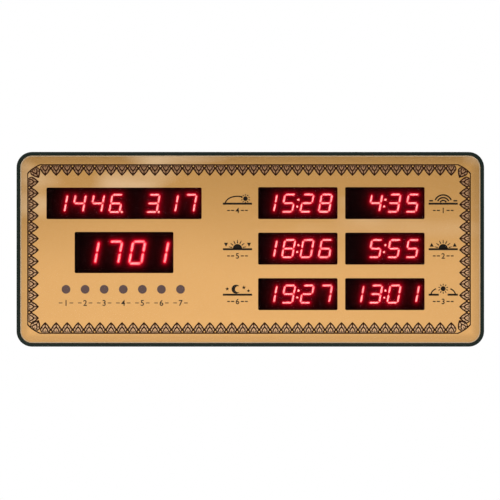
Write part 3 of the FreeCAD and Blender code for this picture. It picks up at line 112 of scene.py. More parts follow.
# What each display shows: its digits, which of them have a lit point, and whether the colon is lit
READINGS = {
    "date_left": (SMALL, "1446", (3,), False),
    "date_right": (SMALL, " 317", (1,), False),
    "time": (MAIN, "1701", (), False),
    "asr": (SMALL, "1528", (), True),
    "maghrib": (SMALL, "1806", (), True),
    "isha": (SMALL, "1927", (), True),
    "fajr": (SMALL, " 435", (), True),
    "ishraq": (SMALL, " 555", (), True),
    "dhuhr": (SMALL, "1301", (), True),
}
LIT_BARS = {
    " ": "", "0": "abcdef", "1": "bc", "2": "abged", "3": "abgcd", "4": "fgbc", "5": "afgcd",
    "6": "afgedc", "7": "abc", "8": "abcdefg", "9": "abcdfg",
}

# Printed border: half sizes of its outer line, its offset on the film and its cut corners
BORDER_X = 227.8 * MM
BORDER_Z = 87.1 * MM
BORDER_SHIFT = (-1.35 * MM, 0.3 * MM)
BORDER_LINE = 1.0 * MM
CORNER_X = 12.9 * MM
CORNER_Z = 9 * MM
CORNER_LEAN = 0.6

# One leaf: the sizes of its two drawn rings and its fill as shares of its outline, scaled about a
# heart at that share of its length; its pen widths; and foot and tip of its right half's ribs
LEAF_LENGTH = 11.1 * MM
LEAF_WIDTH = 10.9 * MM
LEAF_HEART = 0.16
LEAF_RINGS = ((1.0, 0.78), (0.56, 0.34))
LEAF_FILL = 0.9
VEIN_PEN = 1.1 * MM
RIB_PEN = 0.9 * MM
LEAF_RIBS = (((2.6 * MM, 1.5 * MM), (3.8 * MM, 1.9 * MM)), ((2.6 * MM, 5.3 * MM), (3.7 * MM, 4.5 * MM)))

# Rows and columns of leaves: how many, their pitch and the first one's place
ROW_LEAVES = 38
ROW_PITCH = 11.27 * MM
ROW_FIRST = -209.3 * MM
COLUMN_LEAVES = 13
COLUMN_PITCH = 11.66 * MM
COLUMN_FIRST = 69 * MM

# Windows in the printed film: width and height, and the middle that the date's and the time's share
PRAYER_WINDOW = (81.6 * MM, 32.8 * MM)
DATE_WINDOW = (159.4 * MM, 32.4 * MM)
TIME_WINDOW = (101.5 * MM, 42.3 * MM)
DATE_X = -129.7 * MM

# The prayer displays of the two columns
RIGHT_COLUMN = ("fajr", "ishraq", "dhuhr")
MIDDLE_COLUMN = ("asr", "maghrib", "isha")


# ---- Meshes ----

def link_piece(name, mesh, material, body="case"):
    piece = bpy.data.objects.new(name, mesh)
    scene.collection.objects.link(piece)
    mesh.materials.append(material)
    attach(piece, body)
    return piece


def solid_mesh(name, points, faces):
    """A mesh of closed solids with its normals turned outward."""
    mesh = bpy.data.meshes.new(name)
    mesh.from_pydata(points, [], faces)
    shape = bmesh.new()
    shape.from_mesh(mesh)
    bmesh.ops.recalc_face_normals(shape, faces=shape.faces)
    shape.to_mesh(mesh)
    shape.free()
    return mesh


def plates(name, shapes, depths, material, body="case"):
    """Flat plates between two depths; each shape is its outline and then its holes, in (x, z)."""
    back, front = depths
    points = []
    faces = []
    for loops in shapes:
        first = len(points)
        flat = [point for loop in loops for point in loop]
        count = len(flat)
        points += [(x, -front, z) for x, z in flat]
        points += [(x, -back, z) for x, z in flat]
        for corners in tessellate_polygon([[Vector((x, z, 0)) for x, z in loop] for loop in loops]):
            faces.append([first + corner for corner in corners])
            faces.append([first + count + corner for corner in reversed(corners)])
        start = first
        for loop in loops:
            for step in range(len(loop)):
                here = start + step
                following = start + (step + 1) % len(loop)
                faces.append([here, following, following + count, here + count])
            start += len(loop)
    link_piece(name, solid_mesh(name, points, faces), material, body)


def polar(x, z, radius, degrees):
    """The point at an angle on the circle about (x, z)."""
    angle = math.radians(degrees)
    return x + radius * math.cos(angle), z + radius * math.sin(angle)


def circle_loop(x, z, radius, steps=24):
    return [polar(x, z, radius, 360 * step / steps) for step in range(steps)]


def arc_points(x, z, radius, start, end, steps):
    """Points on an arc, with its angles in degrees."""
    return [polar(x, z, radius, start + (end - start) * step / steps) for step in range(steps + 1)]


CORNERS = ((1, 1), (-1, 1), (-1, -1), (1, -1))
CORNER_STEPS = 8


def rounded_rectangle(x, z, width, height, radius):
    loop = []
    for turn, (side_x, side_z) in enumerate(CORNERS):
        loop += arc_points(x + side_x * (width / 2 - radius), z + side_z * (height / 2 - radius), radius,
                           90 * turn, 90 * turn + 90, CORNER_STEPS)
    return loop


def triangle(x, half, base, tip):
    """A triangle with a level base at one height and its tip at another."""
    return [[(x - half, base), (x + half, base), (x, tip)]]


def curve_points(start, control, end, steps=6):
    """Points on a quadratic curve, without its last one."""
    found = []
    for step in range(steps):
        t = step / steps
        found.append(tuple((1 - t) ** 2 * a + 2 * t * (1 - t) * b + t * t * c
                           for a, b, c in zip(start, control, end)))
    return found


def stroke(start, end, width, taper=1.0):
    """A straight pen stroke as one loop; taper is the end's share of the start's width."""
    along = Vector(end) - Vector(start)
    side = Vector((-along.y, along.x)).normalized() * width / 2
    corners = (Vector(start) + side, Vector(start) - side,
               Vector(end) - side * taper, Vector(end) + side * taper)
    return [tuple(corner) for corner in corners]


def level(start, end, z, width):
    """A level stroke between two places across, as one shape."""
    return [stroke((start, z), (end, z), width)]


def band(points, width):
    """A pen line of constant width along an open run of points, as one loop."""
    left = []
    right = []
    for number, point in enumerate(points):
        before = Vector(points[max(number - 1, 0)])
        after = Vector(points[min(number + 1, len(points) - 1)])
        along = (after - before).normalized()
        side = Vector((-along.y, along.x)) * width / 2
        left.append(tuple(Vector(point) + side))
        right.append(tuple(Vector(point) - side))
    return left + right[::-1]


def turned(loops, origin, inward):
    """Loops in (along, inward) turned so that inward points that way, and set at an origin."""
    inward = Vector(inward).normalized()
    along = Vector((inward.y, -inward.x))
    return [[tuple(Vector(origin) + along * u + inward * v) for u, v in loop] for loop in loops]


def shifted(shapes, x, z):
    return [[[(u + x, v + z) for u, v in loop] for loop in loops] for loops in shapes]


# ---- Materials ----

# Sockets of the Mix node that carry its two colours and its result
MIX_FIRST = 6
MIX_SECOND = 7
MIX_RESULT = 2


class Paint:
    """A node material under construction."""

    def __init__(self, name):
        self.material = bpy.data.materials.new(name)
        self.material.use_nodes = True
        self.nodes = self.material.node_tree.nodes
        self.nodes.clear()
        self.output = self.add("OutputMaterial")
        self.place = self.add("TexCoord").outputs["Object"]

    def add(self, kind, **settings):
        node = self.nodes.new("ShaderNode" + kind)
        for name, value in settings.items():
            setattr(node, name, value)
        return node

    def join(self, source, target):
        self.material.node_tree.links.new(source, target)

    def feed(self, socket, content):
        """Gives a socket a link, a colour or a number."""
        if isinstance(content, bpy.types.NodeSocket):
            self.join(content, socket)
        elif isinstance(content, tuple):
            socket.default_value = (*content, 1.0)
        else:
            socket.default_value = content

    def axes(self, vector):
        """A vector's separate coordinates."""
        split = self.add("SeparateXYZ")
        self.join(vector, split.inputs["Vector"])
        return split.outputs

    def noise(self, size, detail, stretch=(1, 1, 1)):
        """Smooth noise with features of about that size in metres, as a value from 0 to 1."""
        mapping = self.add("Mapping")
        mapping.inputs["Scale"].default_value = [axis / size for axis in stretch]
        self.join(self.place, mapping.inputs["Vector"])
        texture = self.add("TexNoise")
        texture.inputs["Scale"].default_value = 1.0
        texture.inputs["Detail"].default_value = detail
        self.join(mapping.outputs["Vector"], texture.inputs["Vector"])
        return texture.outputs["Fac"]

    def spread(self, value, low, high, from_low=0.3, from_high=0.7, **settings):
        """The value mapped onto a range of numbers."""
        ranged = self.add("MapRange", **settings)
        for socket, number in (("From Min", from_low), ("From Max", from_high),
                               ("To Min", low), ("To Max", high)):
            ranged.inputs[socket].default_value = number
        self.join(value, ranged.inputs["Value"])
        return ranged.outputs["Result"]

    def blend(self, factor, first, second):
        """A colour between two colours or sockets."""
        mix = self.add("Mix", data_type="RGBA")
        self.feed(mix.inputs["Factor"], factor)
        self.feed(mix.inputs[MIX_FIRST], first)
        self.feed(mix.inputs[MIX_SECOND], second)
        return mix.outputs[MIX_RESULT]

    def math(self, operation, *contents):
        node = self.add("Math", operation=operation)
        for socket, content in zip(node.inputs, contents):
            self.feed(socket, content)
        return node.outputs["Value"]

    def bump(self, height, distance, strength):
        node = self.add("Bump")
        node.inputs["Distance"].default_value = distance
        node.inputs["Strength"].default_value = strength
        self.join(height, node.inputs["Height"])
        return node.outputs["Normal"]

    def principled(self, colour, roughness, metallic, specular, normal=None):
        shader = self.add("BsdfPrincipled")
        self.feed(shader.inputs["Base Color"], colour)
        self.feed(shader.inputs["Roughness"], roughness)
        shader.inputs["Metallic"].default_value = metallic
        shader.inputs["Specular IOR Level"].default_value = specular
        if normal is not None:
            self.join(normal, shader.inputs["Normal"])
        return shader.outputs["BSDF"]

    def clear(self, colour=(1.0, 1.0, 1.0)):
        shader = self.add("BsdfTransparent")
        self.feed(shader.inputs["Color"], colour)
        return shader.outputs["BSDF"]

    def light(self, colour, strength):
        shader = self.add("Emission")
        self.feed(shader.inputs["Color"], colour)
        shader.inputs["Strength"].default_value = strength
        return shader.outputs["Emission"]

    def mixed(self, share, first, second):
        """Two shaders together, with that share of the second one."""
        mix = self.add("MixShader")
        self.feed(mix.inputs["Fac"], share)
        self.join(first, mix.inputs[1])
        self.join(second, mix.inputs[2])
        return mix.outputs["Shader"]

    def finish(self, shader):
        self.join(shader, self.output.inputs["Surface"])
        return self.material


def scaled(colour, factor):
    return tuple(min(1.0, part * factor) for part in colour)


def moulded(name, colour, roughness, grain=0.25 * MM, relief=0.03 * MM, mottle=0.12, specular=0.35):
    """Moulded plastic: spark-eroded grain, faint flow marks and uneven gloss."""
    paint = Paint(name)
    cloud = paint.noise(18 * MM, 4.0)
    tint = paint.blend(cloud, scaled(colour, 1 - mottle), scaled(colour, 1 + mottle))
    gloss = paint.spread(paint.noise(5 * MM, 3.0), roughness - 0.06, roughness + 0.06)
    relief_normal = paint.bump(paint.noise(grain, 2.0), relief, 0.6)
    return paint.finish(paint.principled(tint, gloss, 0.0, specular, relief_normal))


def metal(name, colour, roughness, grain=0.4 * MM, stretch=(1, 1, 1), relief=0.004 * MM):
    """Plated or drawn metal with fine tool marks and slight tarnish."""
    paint = Paint(name)
    tarnish = paint.noise(3 * MM, 5.0)
    tint = paint.blend(paint.spread(tarnish, 0.0, 1.0, 0.45, 0.75), colour, scaled(colour, 0.7))
    marks = paint.noise(grain, 4.0, stretch)
    gloss = paint.spread(marks, roughness - 0.08, roughness + 0.1)
    return paint.finish(paint.principled(tint, gloss, 1.0, 0.5, paint.bump(marks, relief, 0.5)))


def gloss_frame_paint():
    """Glossy green-black plastic rim with orange peel and a few fine rub marks."""
    paint = Paint("frame_gloss")
    cloud = paint.noise(30 * MM, 3.0)
    tint = paint.blend(cloud, (0.0045, 0.0105, 0.0065), (0.008, 0.017, 0.0115))
    rubs = paint.noise(0.7 * MM, 5.0, (0.15, 1, 1))
    gloss = paint.spread(rubs, 0.24, 0.4, 0.5, 0.8)
    peel = paint.bump(paint.noise(2.2 * MM, 2.0), 0.012 * MM, 0.5)
    return paint.finish(paint.principled(tint, gloss, 0.0, 0.12, peel))


def clear_lens_paint():
    """Clear polished acrylic that lets the lamps through, with the faintest haze."""
    paint = Paint("lens_clear")
    weight = paint.add("LayerWeight")
    weight.inputs["Blend"].default_value = 0.5
    grazing = paint.math("POWER", weight.outputs["Facing"], 5.0)
    shine = paint.math("MULTIPLY_ADD", grazing, 0.9, 0.0004)
    haze = paint.spread(paint.noise(9 * MM, 4.0), 0.03, 0.07)
    glossy = paint.add("BsdfGlossy")
    paint.join(haze, glossy.inputs["Roughness"])
    return paint.finish(paint.mixed(shine, paint.clear(), glossy.outputs["BSDF"]))


def gold_film_paint():
    """Satin gold print with fine metallic flakes; painted shade darkens it toward the top and along its
    margins, and a painted reflection lightens soft clouds in its upper part.
    """
    paint = Paint("film_gold")
    place = paint.axes(paint.place)
    # Painted shade: the gold turns darker toward the top, along a wavy edge.
    height = paint.math("MULTIPLY_ADD", paint.noise(90 * MM, 2.0), 22 * MM, place["Z"])
    painted_top_shade = paint.spread(height, 0.0, 1.0, -25 * MM, 95 * MM, interpolation_type="SMOOTHSTEP")
    base = paint.blend(painted_top_shade, (0.665, 0.360, 0.122), (0.475, 0.247, 0.068))
    # Painted shade: outside the border the gold is darkened, as if the rim shaded it.
    beside = paint.math("SUBTRACT", paint.math("ABSOLUTE", place["X"]), BORDER_X)
    above = paint.math("SUBTRACT", paint.math("ABSOLUTE", place["Z"]), BORDER_Z)
    painted_rim_shade = paint.spread(paint.math("MAXIMUM", beside, above), 0.0, 1.0, -2 * MM, 3 * MM)
    base = paint.blend(painted_rim_shade, base, paint.blend(0.83, (0, 0, 0), base))
    # Painted reflection: pale soft clouds on the upper part of the film, limited to its upper region.
    painted_reflection = paint.spread(paint.noise(75 * MM, 2.0, (0.55, 1, 1.5)), 0.0, 1.0, 0.52, 0.72)
    high = paint.spread(place["Z"], 0.0, 1.0, 10 * MM, 55 * MM)
    base = paint.blend(paint.math("MULTIPLY", painted_reflection, high), base, (0.74, 0.52, 0.31))
    flake = paint.noise(0.35 * MM, 3.0)
    tint = paint.blend(paint.spread(flake, 0.0, 0.14, 0.5, 0.75), base, (1.0, 0.80, 0.46))
    gloss = paint.spread(paint.noise(0.5 * MM, 3.0, (0.2, 1, 1)), 0.38, 0.5)
    relief = paint.bump(flake, 0.003 * MM, 0.4)
    printed = paint.principled(tint, gloss, 0.55, 0.25, relief)
    grey = paint.blend(flake, (0.02, 0.02, 0.02), (0.035, 0.035, 0.035))
    backing = paint.principled(grey, 0.6, 0.0, 0.2)
    facing = paint.axes(paint.add("TexCoord").outputs["Normal"])
    behind = paint.math("GREATER_THAN", facing["Y"], 0.5)
    return paint.finish(paint.mixed(behind, printed, backing))


INK_GRAIN = 0.8 * MM


def finished_ink(paint, cover, tint):
    """A paint finished as screen-printed ink, with gloss and relief as uneven as its cover."""
    gloss = paint.spread(cover, 0.5, 0.62)
    return paint.finish(paint.principled(tint, gloss, 0.0, 0.08, paint.bump(cover, 0.004 * MM, 0.4)))


def ink_paint(name, colour, spread=0.25):
    """Ink of one colour, a little lighter and darker by that share."""
    paint = Paint(name)
    cover = paint.noise(INK_GRAIN, 4.0)
    tint = paint.blend(cover, scaled(colour, 1 - spread), scaled(colour, 1 + spread))
    return finished_ink(paint, cover, tint)


def leaf_fill_paint():
    """The border leaves' light golden ink, with painted shade that darkens it toward the top like the
    film.
    """
    paint = Paint("ink_fill")
    # Painted shade: the fill turns darker toward the top.
    painted_top_shade = paint.spread(paint.axes(paint.place)["Z"], 0.0, 1.0, -70 * MM, 84 * MM)
    base = paint.blend(painted_top_shade, (0.88, 0.54, 0.29), (0.42, 0.225, 0.115))
    cover = paint.noise(INK_GRAIN, 4.0)
    tint = paint.blend(paint.spread(cover, 0.0, 0.4), base, (0.30, 0.15, 0.05))
    return finished_ink(paint, cover, tint)


def red_filter_paint():
    """Dark red sheet that the digits shine through."""
    paint = Paint("filter_red")
    tint = paint.blend(paint.noise(6 * MM, 3.0), (0.0035, 0.0002, 0.0003), (0.007, 0.0003, 0.0005))
    body = paint.principled(tint, paint.spread(paint.noise(2 * MM, 2.0), 0.5, 0.62), 0.0, 0.02)
    return paint.finish(paint.mixed(0.5, paint.clear((0.97, 0.86, 0.86)), body))


def lit_segment_paint():
    """A lit bar: crimson at its rim and almost white along its middle."""
    paint = Paint("segment_lit")
    core = paint.add("Attribute", attribute_name="core").outputs["Fac"]
    uneven = paint.spread(paint.noise(9 * MM, 2.0), 0.72, 1.08)
    ramp = paint.add("ValToRGB")
    ramp.color_ramp.elements[0].color = (0.28, 0.0, 0.02, 1)
    ramp.color_ramp.elements[1].color = (1.0, 0.72, 0.62, 1)
    for place, colour in ((0.28, (1.0, 0.24, 0.28, 1)), (0.55, (1.0, 0.58, 0.56, 1))):
        ramp.color_ramp.elements.new(place).color = colour
    paint.join(paint.math("MULTIPLY", core, uneven), ramp.inputs["Fac"])
    return paint.finish(paint.light(ramp.outputs["Color"], 5.2))


def glow_paint():
    """The red haze that lit bars leave in the sheet before them."""
    paint = Paint("segment_glow")
    glow = paint.add("Attribute", attribute_name="glow").outputs["Fac"]
    return paint.finish(paint.mixed(glow, paint.clear(), paint.light((1.0, 0.0, 0.03), 15.0)))


def board_paint():
    """Green solder mask with etched tracks under it."""
    paint = Paint("board_green")
    upright = paint.add("Mapping")
    upright.inputs["Rotation"].default_value = (math.pi / 2, 0, 0)
    paint.join(paint.place, upright.inputs["Vector"])
    brick = paint.add("TexBrick")
    paint.join(upright.outputs["Vector"], brick.inputs["Vector"])
    for socket, content in (("Scale", 1 / (9 * MM)), ("Mortar Size", 0.06), ("Mortar Smooth", 0.2),
                            ("Color1", (0.012, 0.10, 0.035)), ("Color2", (0.010, 0.085, 0.03)),
                            ("Mortar", (0.03, 0.19, 0.07))):
        paint.feed(brick.inputs[socket], content)
    gloss = paint.spread(paint.noise(4 * MM, 3.0), 0.25, 0.4)
    return paint.finish(paint.principled(brick.outputs["Color"], gloss, 0.0, 0.4,
                                         paint.bump(brick.outputs["Fac"], 0.02 * MM, 0.4)))


def paper_paint(name, colour, roughness):
    """Pressed paper or coated polyester: fibres and soft mottling."""
    paint = Paint(name)
    fibres = paint.noise(0.6 * MM, 6.0, (1, 1, 0.2))
    tint = paint.blend(fibres, scaled(colour, 0.85), scaled(colour, 1.15))
    return paint.finish(paint.principled(tint, paint.spread(fibres, roughness - 0.05, roughness + 0.05),
                                         0.0, 0.3, paint.bump(fibres, 0.01 * MM, 0.5)))


materials = {
    "frame_gloss": gloss_frame_paint(),
    "lens_clear": clear_lens_paint(),
    "film_gold": gold_film_paint(),
    "tape_foam": moulded("tape_foam", (0.02, 0.02, 0.02), 0.85, 0.4 * MM, 0.1 * MM),
    "filter_red": red_filter_paint(),
    "diffuser_smoke": moulded("diffuser_smoke", (0.108, 0.057, 0.050), 0.5, 1.2 * MM, 0.01 * MM, 0.1),
    "shell_black": moulded("shell_black", (0.011, 0.012, 0.0125), 0.5, 0.35 * MM, 0.04 * MM, 0.12, 0.25),
    "door_black": moulded("door_black", (0.013, 0.014, 0.0145), 0.46, 0.35 * MM, 0.04 * MM, 0.12, 0.25),
    "tinned_pin": metal("tinned_pin", (0.75, 0.75, 0.74), 0.35),
    "lamp_red": moulded("lamp_red", (0.35, 0.05, 0.05), 0.3, 1 * MM, 0.01 * MM),
    "board_green": board_paint(),
    "chip_black": moulded("chip_black", (0.022, 0.022, 0.025), 0.6, 0.12 * MM, 0.01 * MM),
    "can_steel": metal("can_steel", (0.7, 0.7, 0.7), 0.3, 0.5 * MM, (0.1, 1, 1)),
    "capacitor_sleeve": moulded("capacitor_sleeve", (0.03, 0.04, 0.12), 0.3, 2 * MM, 0.01 * MM),
    "switch_black": moulded("switch_black", (0.03, 0.03, 0.03), 0.5),
    "cell_steel": metal("cell_steel", (0.46, 0.46, 0.45), 0.34, 0.4 * MM, (1, 1, 0.1)),
    "contact_brass": metal("contact_brass", (0.8, 0.62, 0.3), 0.3),
    "basket_steel": metal("basket_steel", (0.5, 0.5, 0.48), 0.38),
    "magnet_iron": moulded("magnet_iron", (0.08, 0.08, 0.085), 0.7, 0.3 * MM, 0.03 * MM),
    "cone_paper": paper_paint("cone_paper", (0.035, 0.035, 0.036), 0.85),
    "jack_black": moulded("jack_black", (0.022, 0.022, 0.023), 0.4, 0.2 * MM, 0.01 * MM),
    "plated_pin": metal("plated_pin", (0.85, 0.85, 0.83), 0.18),
    "screw_steel": metal("screw_steel", (0.36, 0.36, 0.35), 0.4, 0.3 * MM),
    "wire_cover": moulded("wire_cover", (0.45, 0.02, 0.02), 0.5, 1 * MM, 0.01 * MM),
    "ribbon_grey": moulded("ribbon_grey", (0.5, 0.5, 0.5), 0.55, 1.27 * MM, 0.05 * MM),
    "led_housing": moulded("led_housing", (0.008, 0.0016, 0.0022), 0.55, 0.3 * MM, 0.01 * MM, 0.2, 0.15),
    "led_segment": moulded("led_segment", (0.035, 0.004, 0.012), 0.5, 0.4 * MM, 0.01 * MM, 0.2, 0.2),
    "button_grey": moulded("button_grey", (0.13, 0.13, 0.14), 0.5, 0.25 * MM, 0.02 * MM),
    "plunger_black": moulded("plunger_black", (0.03, 0.03, 0.03), 0.5),
}
ink_black = ink_paint("ink_black", (0.012, 0.009, 0.006))
ink_grey = ink_paint("ink_grey", (0.055, 0.040, 0.026))
ink_brown = ink_paint("ink_brown", (0.038, 0.012, 0.004))
ink_fill = leaf_fill_paint()
sign_white = ink_paint("sign_white", (0.62, 0.62, 0.6), 0.08)
# Painted highlight: light ink for the ring that stands in for the shine of the polished lens edge
painted_edge_highlight = ink_paint("painted_edge_highlight", (0.78, 0.62, 0.42), 0.08)
label_silver = paper_paint("label_silver", (0.42, 0.42, 0.41), 0.5)


for subpart in frame["record"]["subparts"]:
    node_mesh = frame["nodes"][subpart["node"]].data
    node_mesh.materials.clear()
    node_mesh.materials.append(materials[subpart["material_slot"]])


# ---- LED digits: lit and unlit bars, and the haze around the lit ones ----

def bar_shapes(kind):
    """The seven bars of a digit by letter: centre, half length and whether it stands upright."""
    half_width = kind["width"] / 2
    half_height = kind["height"] / 2
    flat = (kind["width"] - 2 * MITRE) / 2
    upright = (half_height - 2 * MITRE) / 2
    return {
        "a": (0, half_height, flat, False), "g": (0, 0, flat, False), "d": (0, -half_height, flat, False),
        "f": (-half_width, half_height / 2, upright, True),
        "e": (-half_width, -half_height / 2, upright, True),
        "b": (half_width, half_height / 2, upright, True),
        "c": (half_width, -half_height / 2, upright, True),
    }


def leaning(x, z, middle):
    """A place in a digit, which leans to the right about its middle."""
    return middle[0] + x + z * SLANT, middle[1] + z


def bar_outline(kind, bar):
    """A bar's six corners, and then the two ends of its middle line, in (x, z)."""
    x, z, half, upright = bar
    point = kind["bar"] / 2
    corners = [(-half, 0), (point - half, point), (half - point, point), (half, 0),
               (half - point, -point), (point - half, -point), (point - half, 0), (half - point, 0)]
    if upright:
        return [(x + across, z + along) for along, across in corners]
    return [(x + along, z + across) for along, across in corners]


BAR_CORNERS = 6
BAR_CORE = [0.0] * BAR_CORNERS + [1.0, 1.0]
# The sloped faces of a bar's front, by the points of its outline
BAR_FACES = [(0, 1, 6), (1, 2, 7, 6), (2, 3, 7), (3, 4, 7), (4, 5, 6, 7), (5, 0, 6)]


class Bars:
    """Collects bars and round marks as closed solids, with how near its core each point is."""

    def __init__(self):
        self.points = []
        self.faces = []
        self.core = []

    def add(self, outline, face_list, rim, core, front):
        """One solid: a front made of the given faces, walls round its rim and a flat back."""
        first = len(self.points)
        count = len(outline)
        self.points += [(x, -front, z) for x, z in outline]
        self.points += [(x, -front + SEGMENT_DEPTH, z) for x, z in outline[:rim]]
        self.core += list(core) + [0.0] * rim
        self.faces += [[first + corner for corner in face] for face in face_list]
        for step in range(rim):
            following = (step + 1) % rim
            self.faces.append([first + step, first + following, first + count + following,
                               first + count + step])
        self.faces.append([first + count + step for step in reversed(range(rim))])

    def add_bar(self, kind, bar, middle, front):
        corners = [leaning(*corner, middle) for corner in bar_outline(kind, bar)]
        self.add(corners, BAR_FACES, BAR_CORNERS, BAR_CORE, front)

    def add_mark(self, kind, mark, middle, front):
        """A round point or colon dot: a sloped ring round a flat heart."""
        x, z = leaning(*mark, middle)
        outline = circle_loop(x, z, kind["bar"] / 2, MARK_STEPS)
        outline += circle_loop(x, z, MARK_HEART * kind["bar"], MARK_STEPS)
        faces = []
        for step in range(MARK_STEPS):
            following = (step + 1) % MARK_STEPS
            faces.append((step, following, MARK_STEPS + following, MARK_STEPS + step))
        faces.append(range(MARK_STEPS, 2 * MARK_STEPS))
        core = [0.0] * MARK_STEPS + [MARK_CORE] * MARK_STEPS
        self.add(outline, faces, MARK_STEPS, core, front)

    def piece(self, name, material):
        mesh = solid_mesh(name, self.points, self.faces)
        mesh.attributes.new("core", "FLOAT", "POINT").data.foreach_set("value", self.core)
        return link_piece(name, mesh, material)


def digit_shift(kind, number):
    return (number - MIDDLE_DIGIT) * kind["pitch"]


def point_marks(kind):
    """The point after each digit of a date module."""
    beside = kind["width"] / 2 + kind["bar"]
    return [(digit_shift(kind, number) + beside, -kind["height"] / 2) for number in range(4)]


def colon_marks(kind):
    return [(0, side * COLON_SHARE * kind["height"]) for side in (1, -1)]


lit_lines = []


def make_digits(name):
    """Replaces a module's CAD segments with its lit and its unlit ones."""
    kind, digits, points, colon = READINGS[name]
    x, z = node_centre(name + "_display")
    front = front_of(name + "_display")
    lit = Bars()
    unlit = Bars()
    for number, digit in enumerate(digits):
        middle = (x + digit_shift(kind, number), z)
        for letter, bar in bar_shapes(kind).items():
            if letter in LIT_BARS[digit]:
                lit.add_bar(kind, bar, middle, front)
                ends = bar_outline(kind, bar)[BAR_CORNERS:]
                lit_lines.append([Vector(leaning(*end, middle)) for end in ends])
            else:
                unlit.add_bar(kind, bar, middle, front)
    marks = point_marks(kind) if name.startswith("date") else colon_marks(kind)
    for number, mark in enumerate(marks):
        if colon or number in points:
            lit.add_mark(kind, mark, (x, z), front)
            lit_lines.append([Vector(leaning(*mark, (x, z)))] * 2)
        else:
            unlit.add_mark(kind, mark, (x, z), front)
    shining = lit.piece(name + "_lit_bars", segment_lit)
    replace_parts(shining, name + "_segments")
    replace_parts(unlit.piece(name + "_dark_bars", materials["led_segment"]), name + "_segments")


def distance_to_line(point, line):
    start, end = line
    along = end - start
    length = along.length_squared
    share = 0 if length == 0 else max(0, min(1, (point - start).dot(along) / length))
    return (point - start - along * share).length


# The haze's grid, where it starts beside a bar, how fast it fades near and far, and where it ends
HAZE_STEP = 0.7 * MM
HAZE_CORE = 1.1 * MM
HAZE_NEAR = 1.1 * MM
HAZE_FAR = 3.6 * MM
HAZE_CUT = 22 * MM
# Strength of the tight halo by module size, of the wide one, and the most of both
SMALL_HALO = 0.11
MAIN_HALO = 0.25
WIDE_HALO = 0.012
HAZE_MOST = 0.3
HAZE_MARGIN = 1.5 * MM
HAZE_DEPTHS = (FILTER_BACK - 0.09 * MM, FILTER_BACK - 0.01 * MM)


def haze_at(point, lines, halo):
    """How strong the red haze is: a tight halo round the nearest bar and a wide one round each."""
    total = 0.0
    nearest = math.inf
    for line in lines:
        distance = distance_to_line(point, line)
        nearest = min(nearest, distance)
        if distance < HAZE_CUT:
            total += math.exp(-max(0, distance - HAZE_CORE) / HAZE_FAR)
    tight = math.exp(-max(0, nearest - HAZE_CORE) / HAZE_NEAR)
    return min(HAZE_MOST, halo * tight + WIDE_HALO * total)


def make_haze(name, x, z, window, halo=SMALL_HALO):
    """A thin sheet behind the filter whose front carries the haze of the digits."""
    width = window[0] + HAZE_MARGIN
    height = window[1] + HAZE_MARGIN
    lines = [line for line in lit_lines if abs(line[0].x - x) < width / 2 + HAZE_CUT
             and abs(line[0].y - z) < height / 2 + HAZE_CUT]
    across = round(width / HAZE_STEP)
    up = round(height / HAZE_STEP)
    back, front = HAZE_DEPTHS
    points = []
    glow = []
    for row in range(up + 1):
        for column in range(across + 1):
            place = Vector((x + width * (column / across - 0.5), z + height * (row / up - 0.5)))
            points.append((place.x, -front, place.y))
            glow.append(haze_at(place, lines, halo))
    faces = []
    for row in range(up):
        for column in range(across):
            corner = row * (across + 1) + column
            faces.append([corner, corner + 1, corner + across + 2, corner + across + 1])
    rim = list(range(across + 1))
    rim += [(row + 1) * (across + 1) - 1 for row in range(1, up + 1)]
    rim += [up * (across + 1) + column for column in reversed(range(across))]
    rim += [row * (across + 1) for row in reversed(range(1, up))]
    first = len(points)
    points += [(points[corner][0], -back, points[corner][2]) for corner in rim]
    glow += [0.0] * len(rim)
    for step in range(len(rim)):
        following = (step + 1) % len(rim)
        faces.append([rim[step], rim[following], first + following, first + step])
    faces.append([first + step for step in reversed(range(len(rim)))])
    mesh = solid_mesh(name, points, faces)
    mesh.attributes.new("glow", "FLOAT", "POINT").data.foreach_set("value", glow)
    link_piece(name, mesh, segment_glow)


segment_lit = lit_segment_paint()
segment_glow = glow_paint()
for display in READINGS:
    make_digits(display)
make_haze("date_haze", DATE_X, node_centre("date_left_display")[1], DATE_WINDOW)
make_haze("time_haze", DATE_X, node_centre("time_display")[1], TIME_WINDOW, MAIN_HALO)
for display in RIGHT_COLUMN + MIDDLE_COLUMN:
    make_haze(display + "_haze", *node_centre(display + "_display"), PRAYER_WINDOW)


# ---- Printed border: a line with cut corners and a row of pointed leaves inside it ----

def leaf_outline(size):
    """A pointed leaf, its base on the line and its tip inward, scaled about its heart."""
    half = LEAF_WIDTH / 2
    foot = (0.62 * half, 0)
    low_bend = (0.98 * half, 0.12 * LEAF_LENGTH)
    widest = (half, 0.36 * LEAF_LENGTH)
    high_bend = (0.78 * half, 0.66 * LEAF_LENGTH)
    tip = (0, LEAF_LENGTH)
    right = curve_points(foot, low_bend, widest) + curve_points(widest, high_bend, tip)
    left = [(-u, v) for u, v in reversed(right)]
    heart = LEAF_HEART * LEAF_LENGTH
    return [(u * size, heart + (v - heart) * size) for u, v in right + [tip] + left]


def leaf_lines():
    """The drawn lines of one leaf: rim, inner leaf, vein and the short ribs beside it."""
    shapes = [[leaf_outline(outer), leaf_outline(inner)] for outer, inner in LEAF_RINGS]
    shapes.append([stroke((0, 0.60 * LEAF_LENGTH), (0, 0.88 * LEAF_LENGTH), VEIN_PEN)])
    shapes.append([stroke((0, 0.05 * LEAF_LENGTH), (0, 0.27 * LEAF_LENGTH), RIB_PEN, 0.5)])
    for side in (-1, 1):
        for foot, tip in LEAF_RIBS:
            shapes.append([stroke((side * foot[0], foot[1]), (side * tip[0], tip[1]), RIB_PEN)])
    return shapes


def knot_shape():
    """The dark knot where two leaves meet on the line, with a bare dot in it."""
    outline = curve_points((1.9 * MM, 0), (1.1 * MM, 2.2 * MM), (0, 4.9 * MM))
    outline += [(0, 5.1 * MM)] + [(-u, v) for u, v in reversed(outline)]
    return [outline, circle_loop(0, 1.15 * MM, 0.85 * MM, 12)]


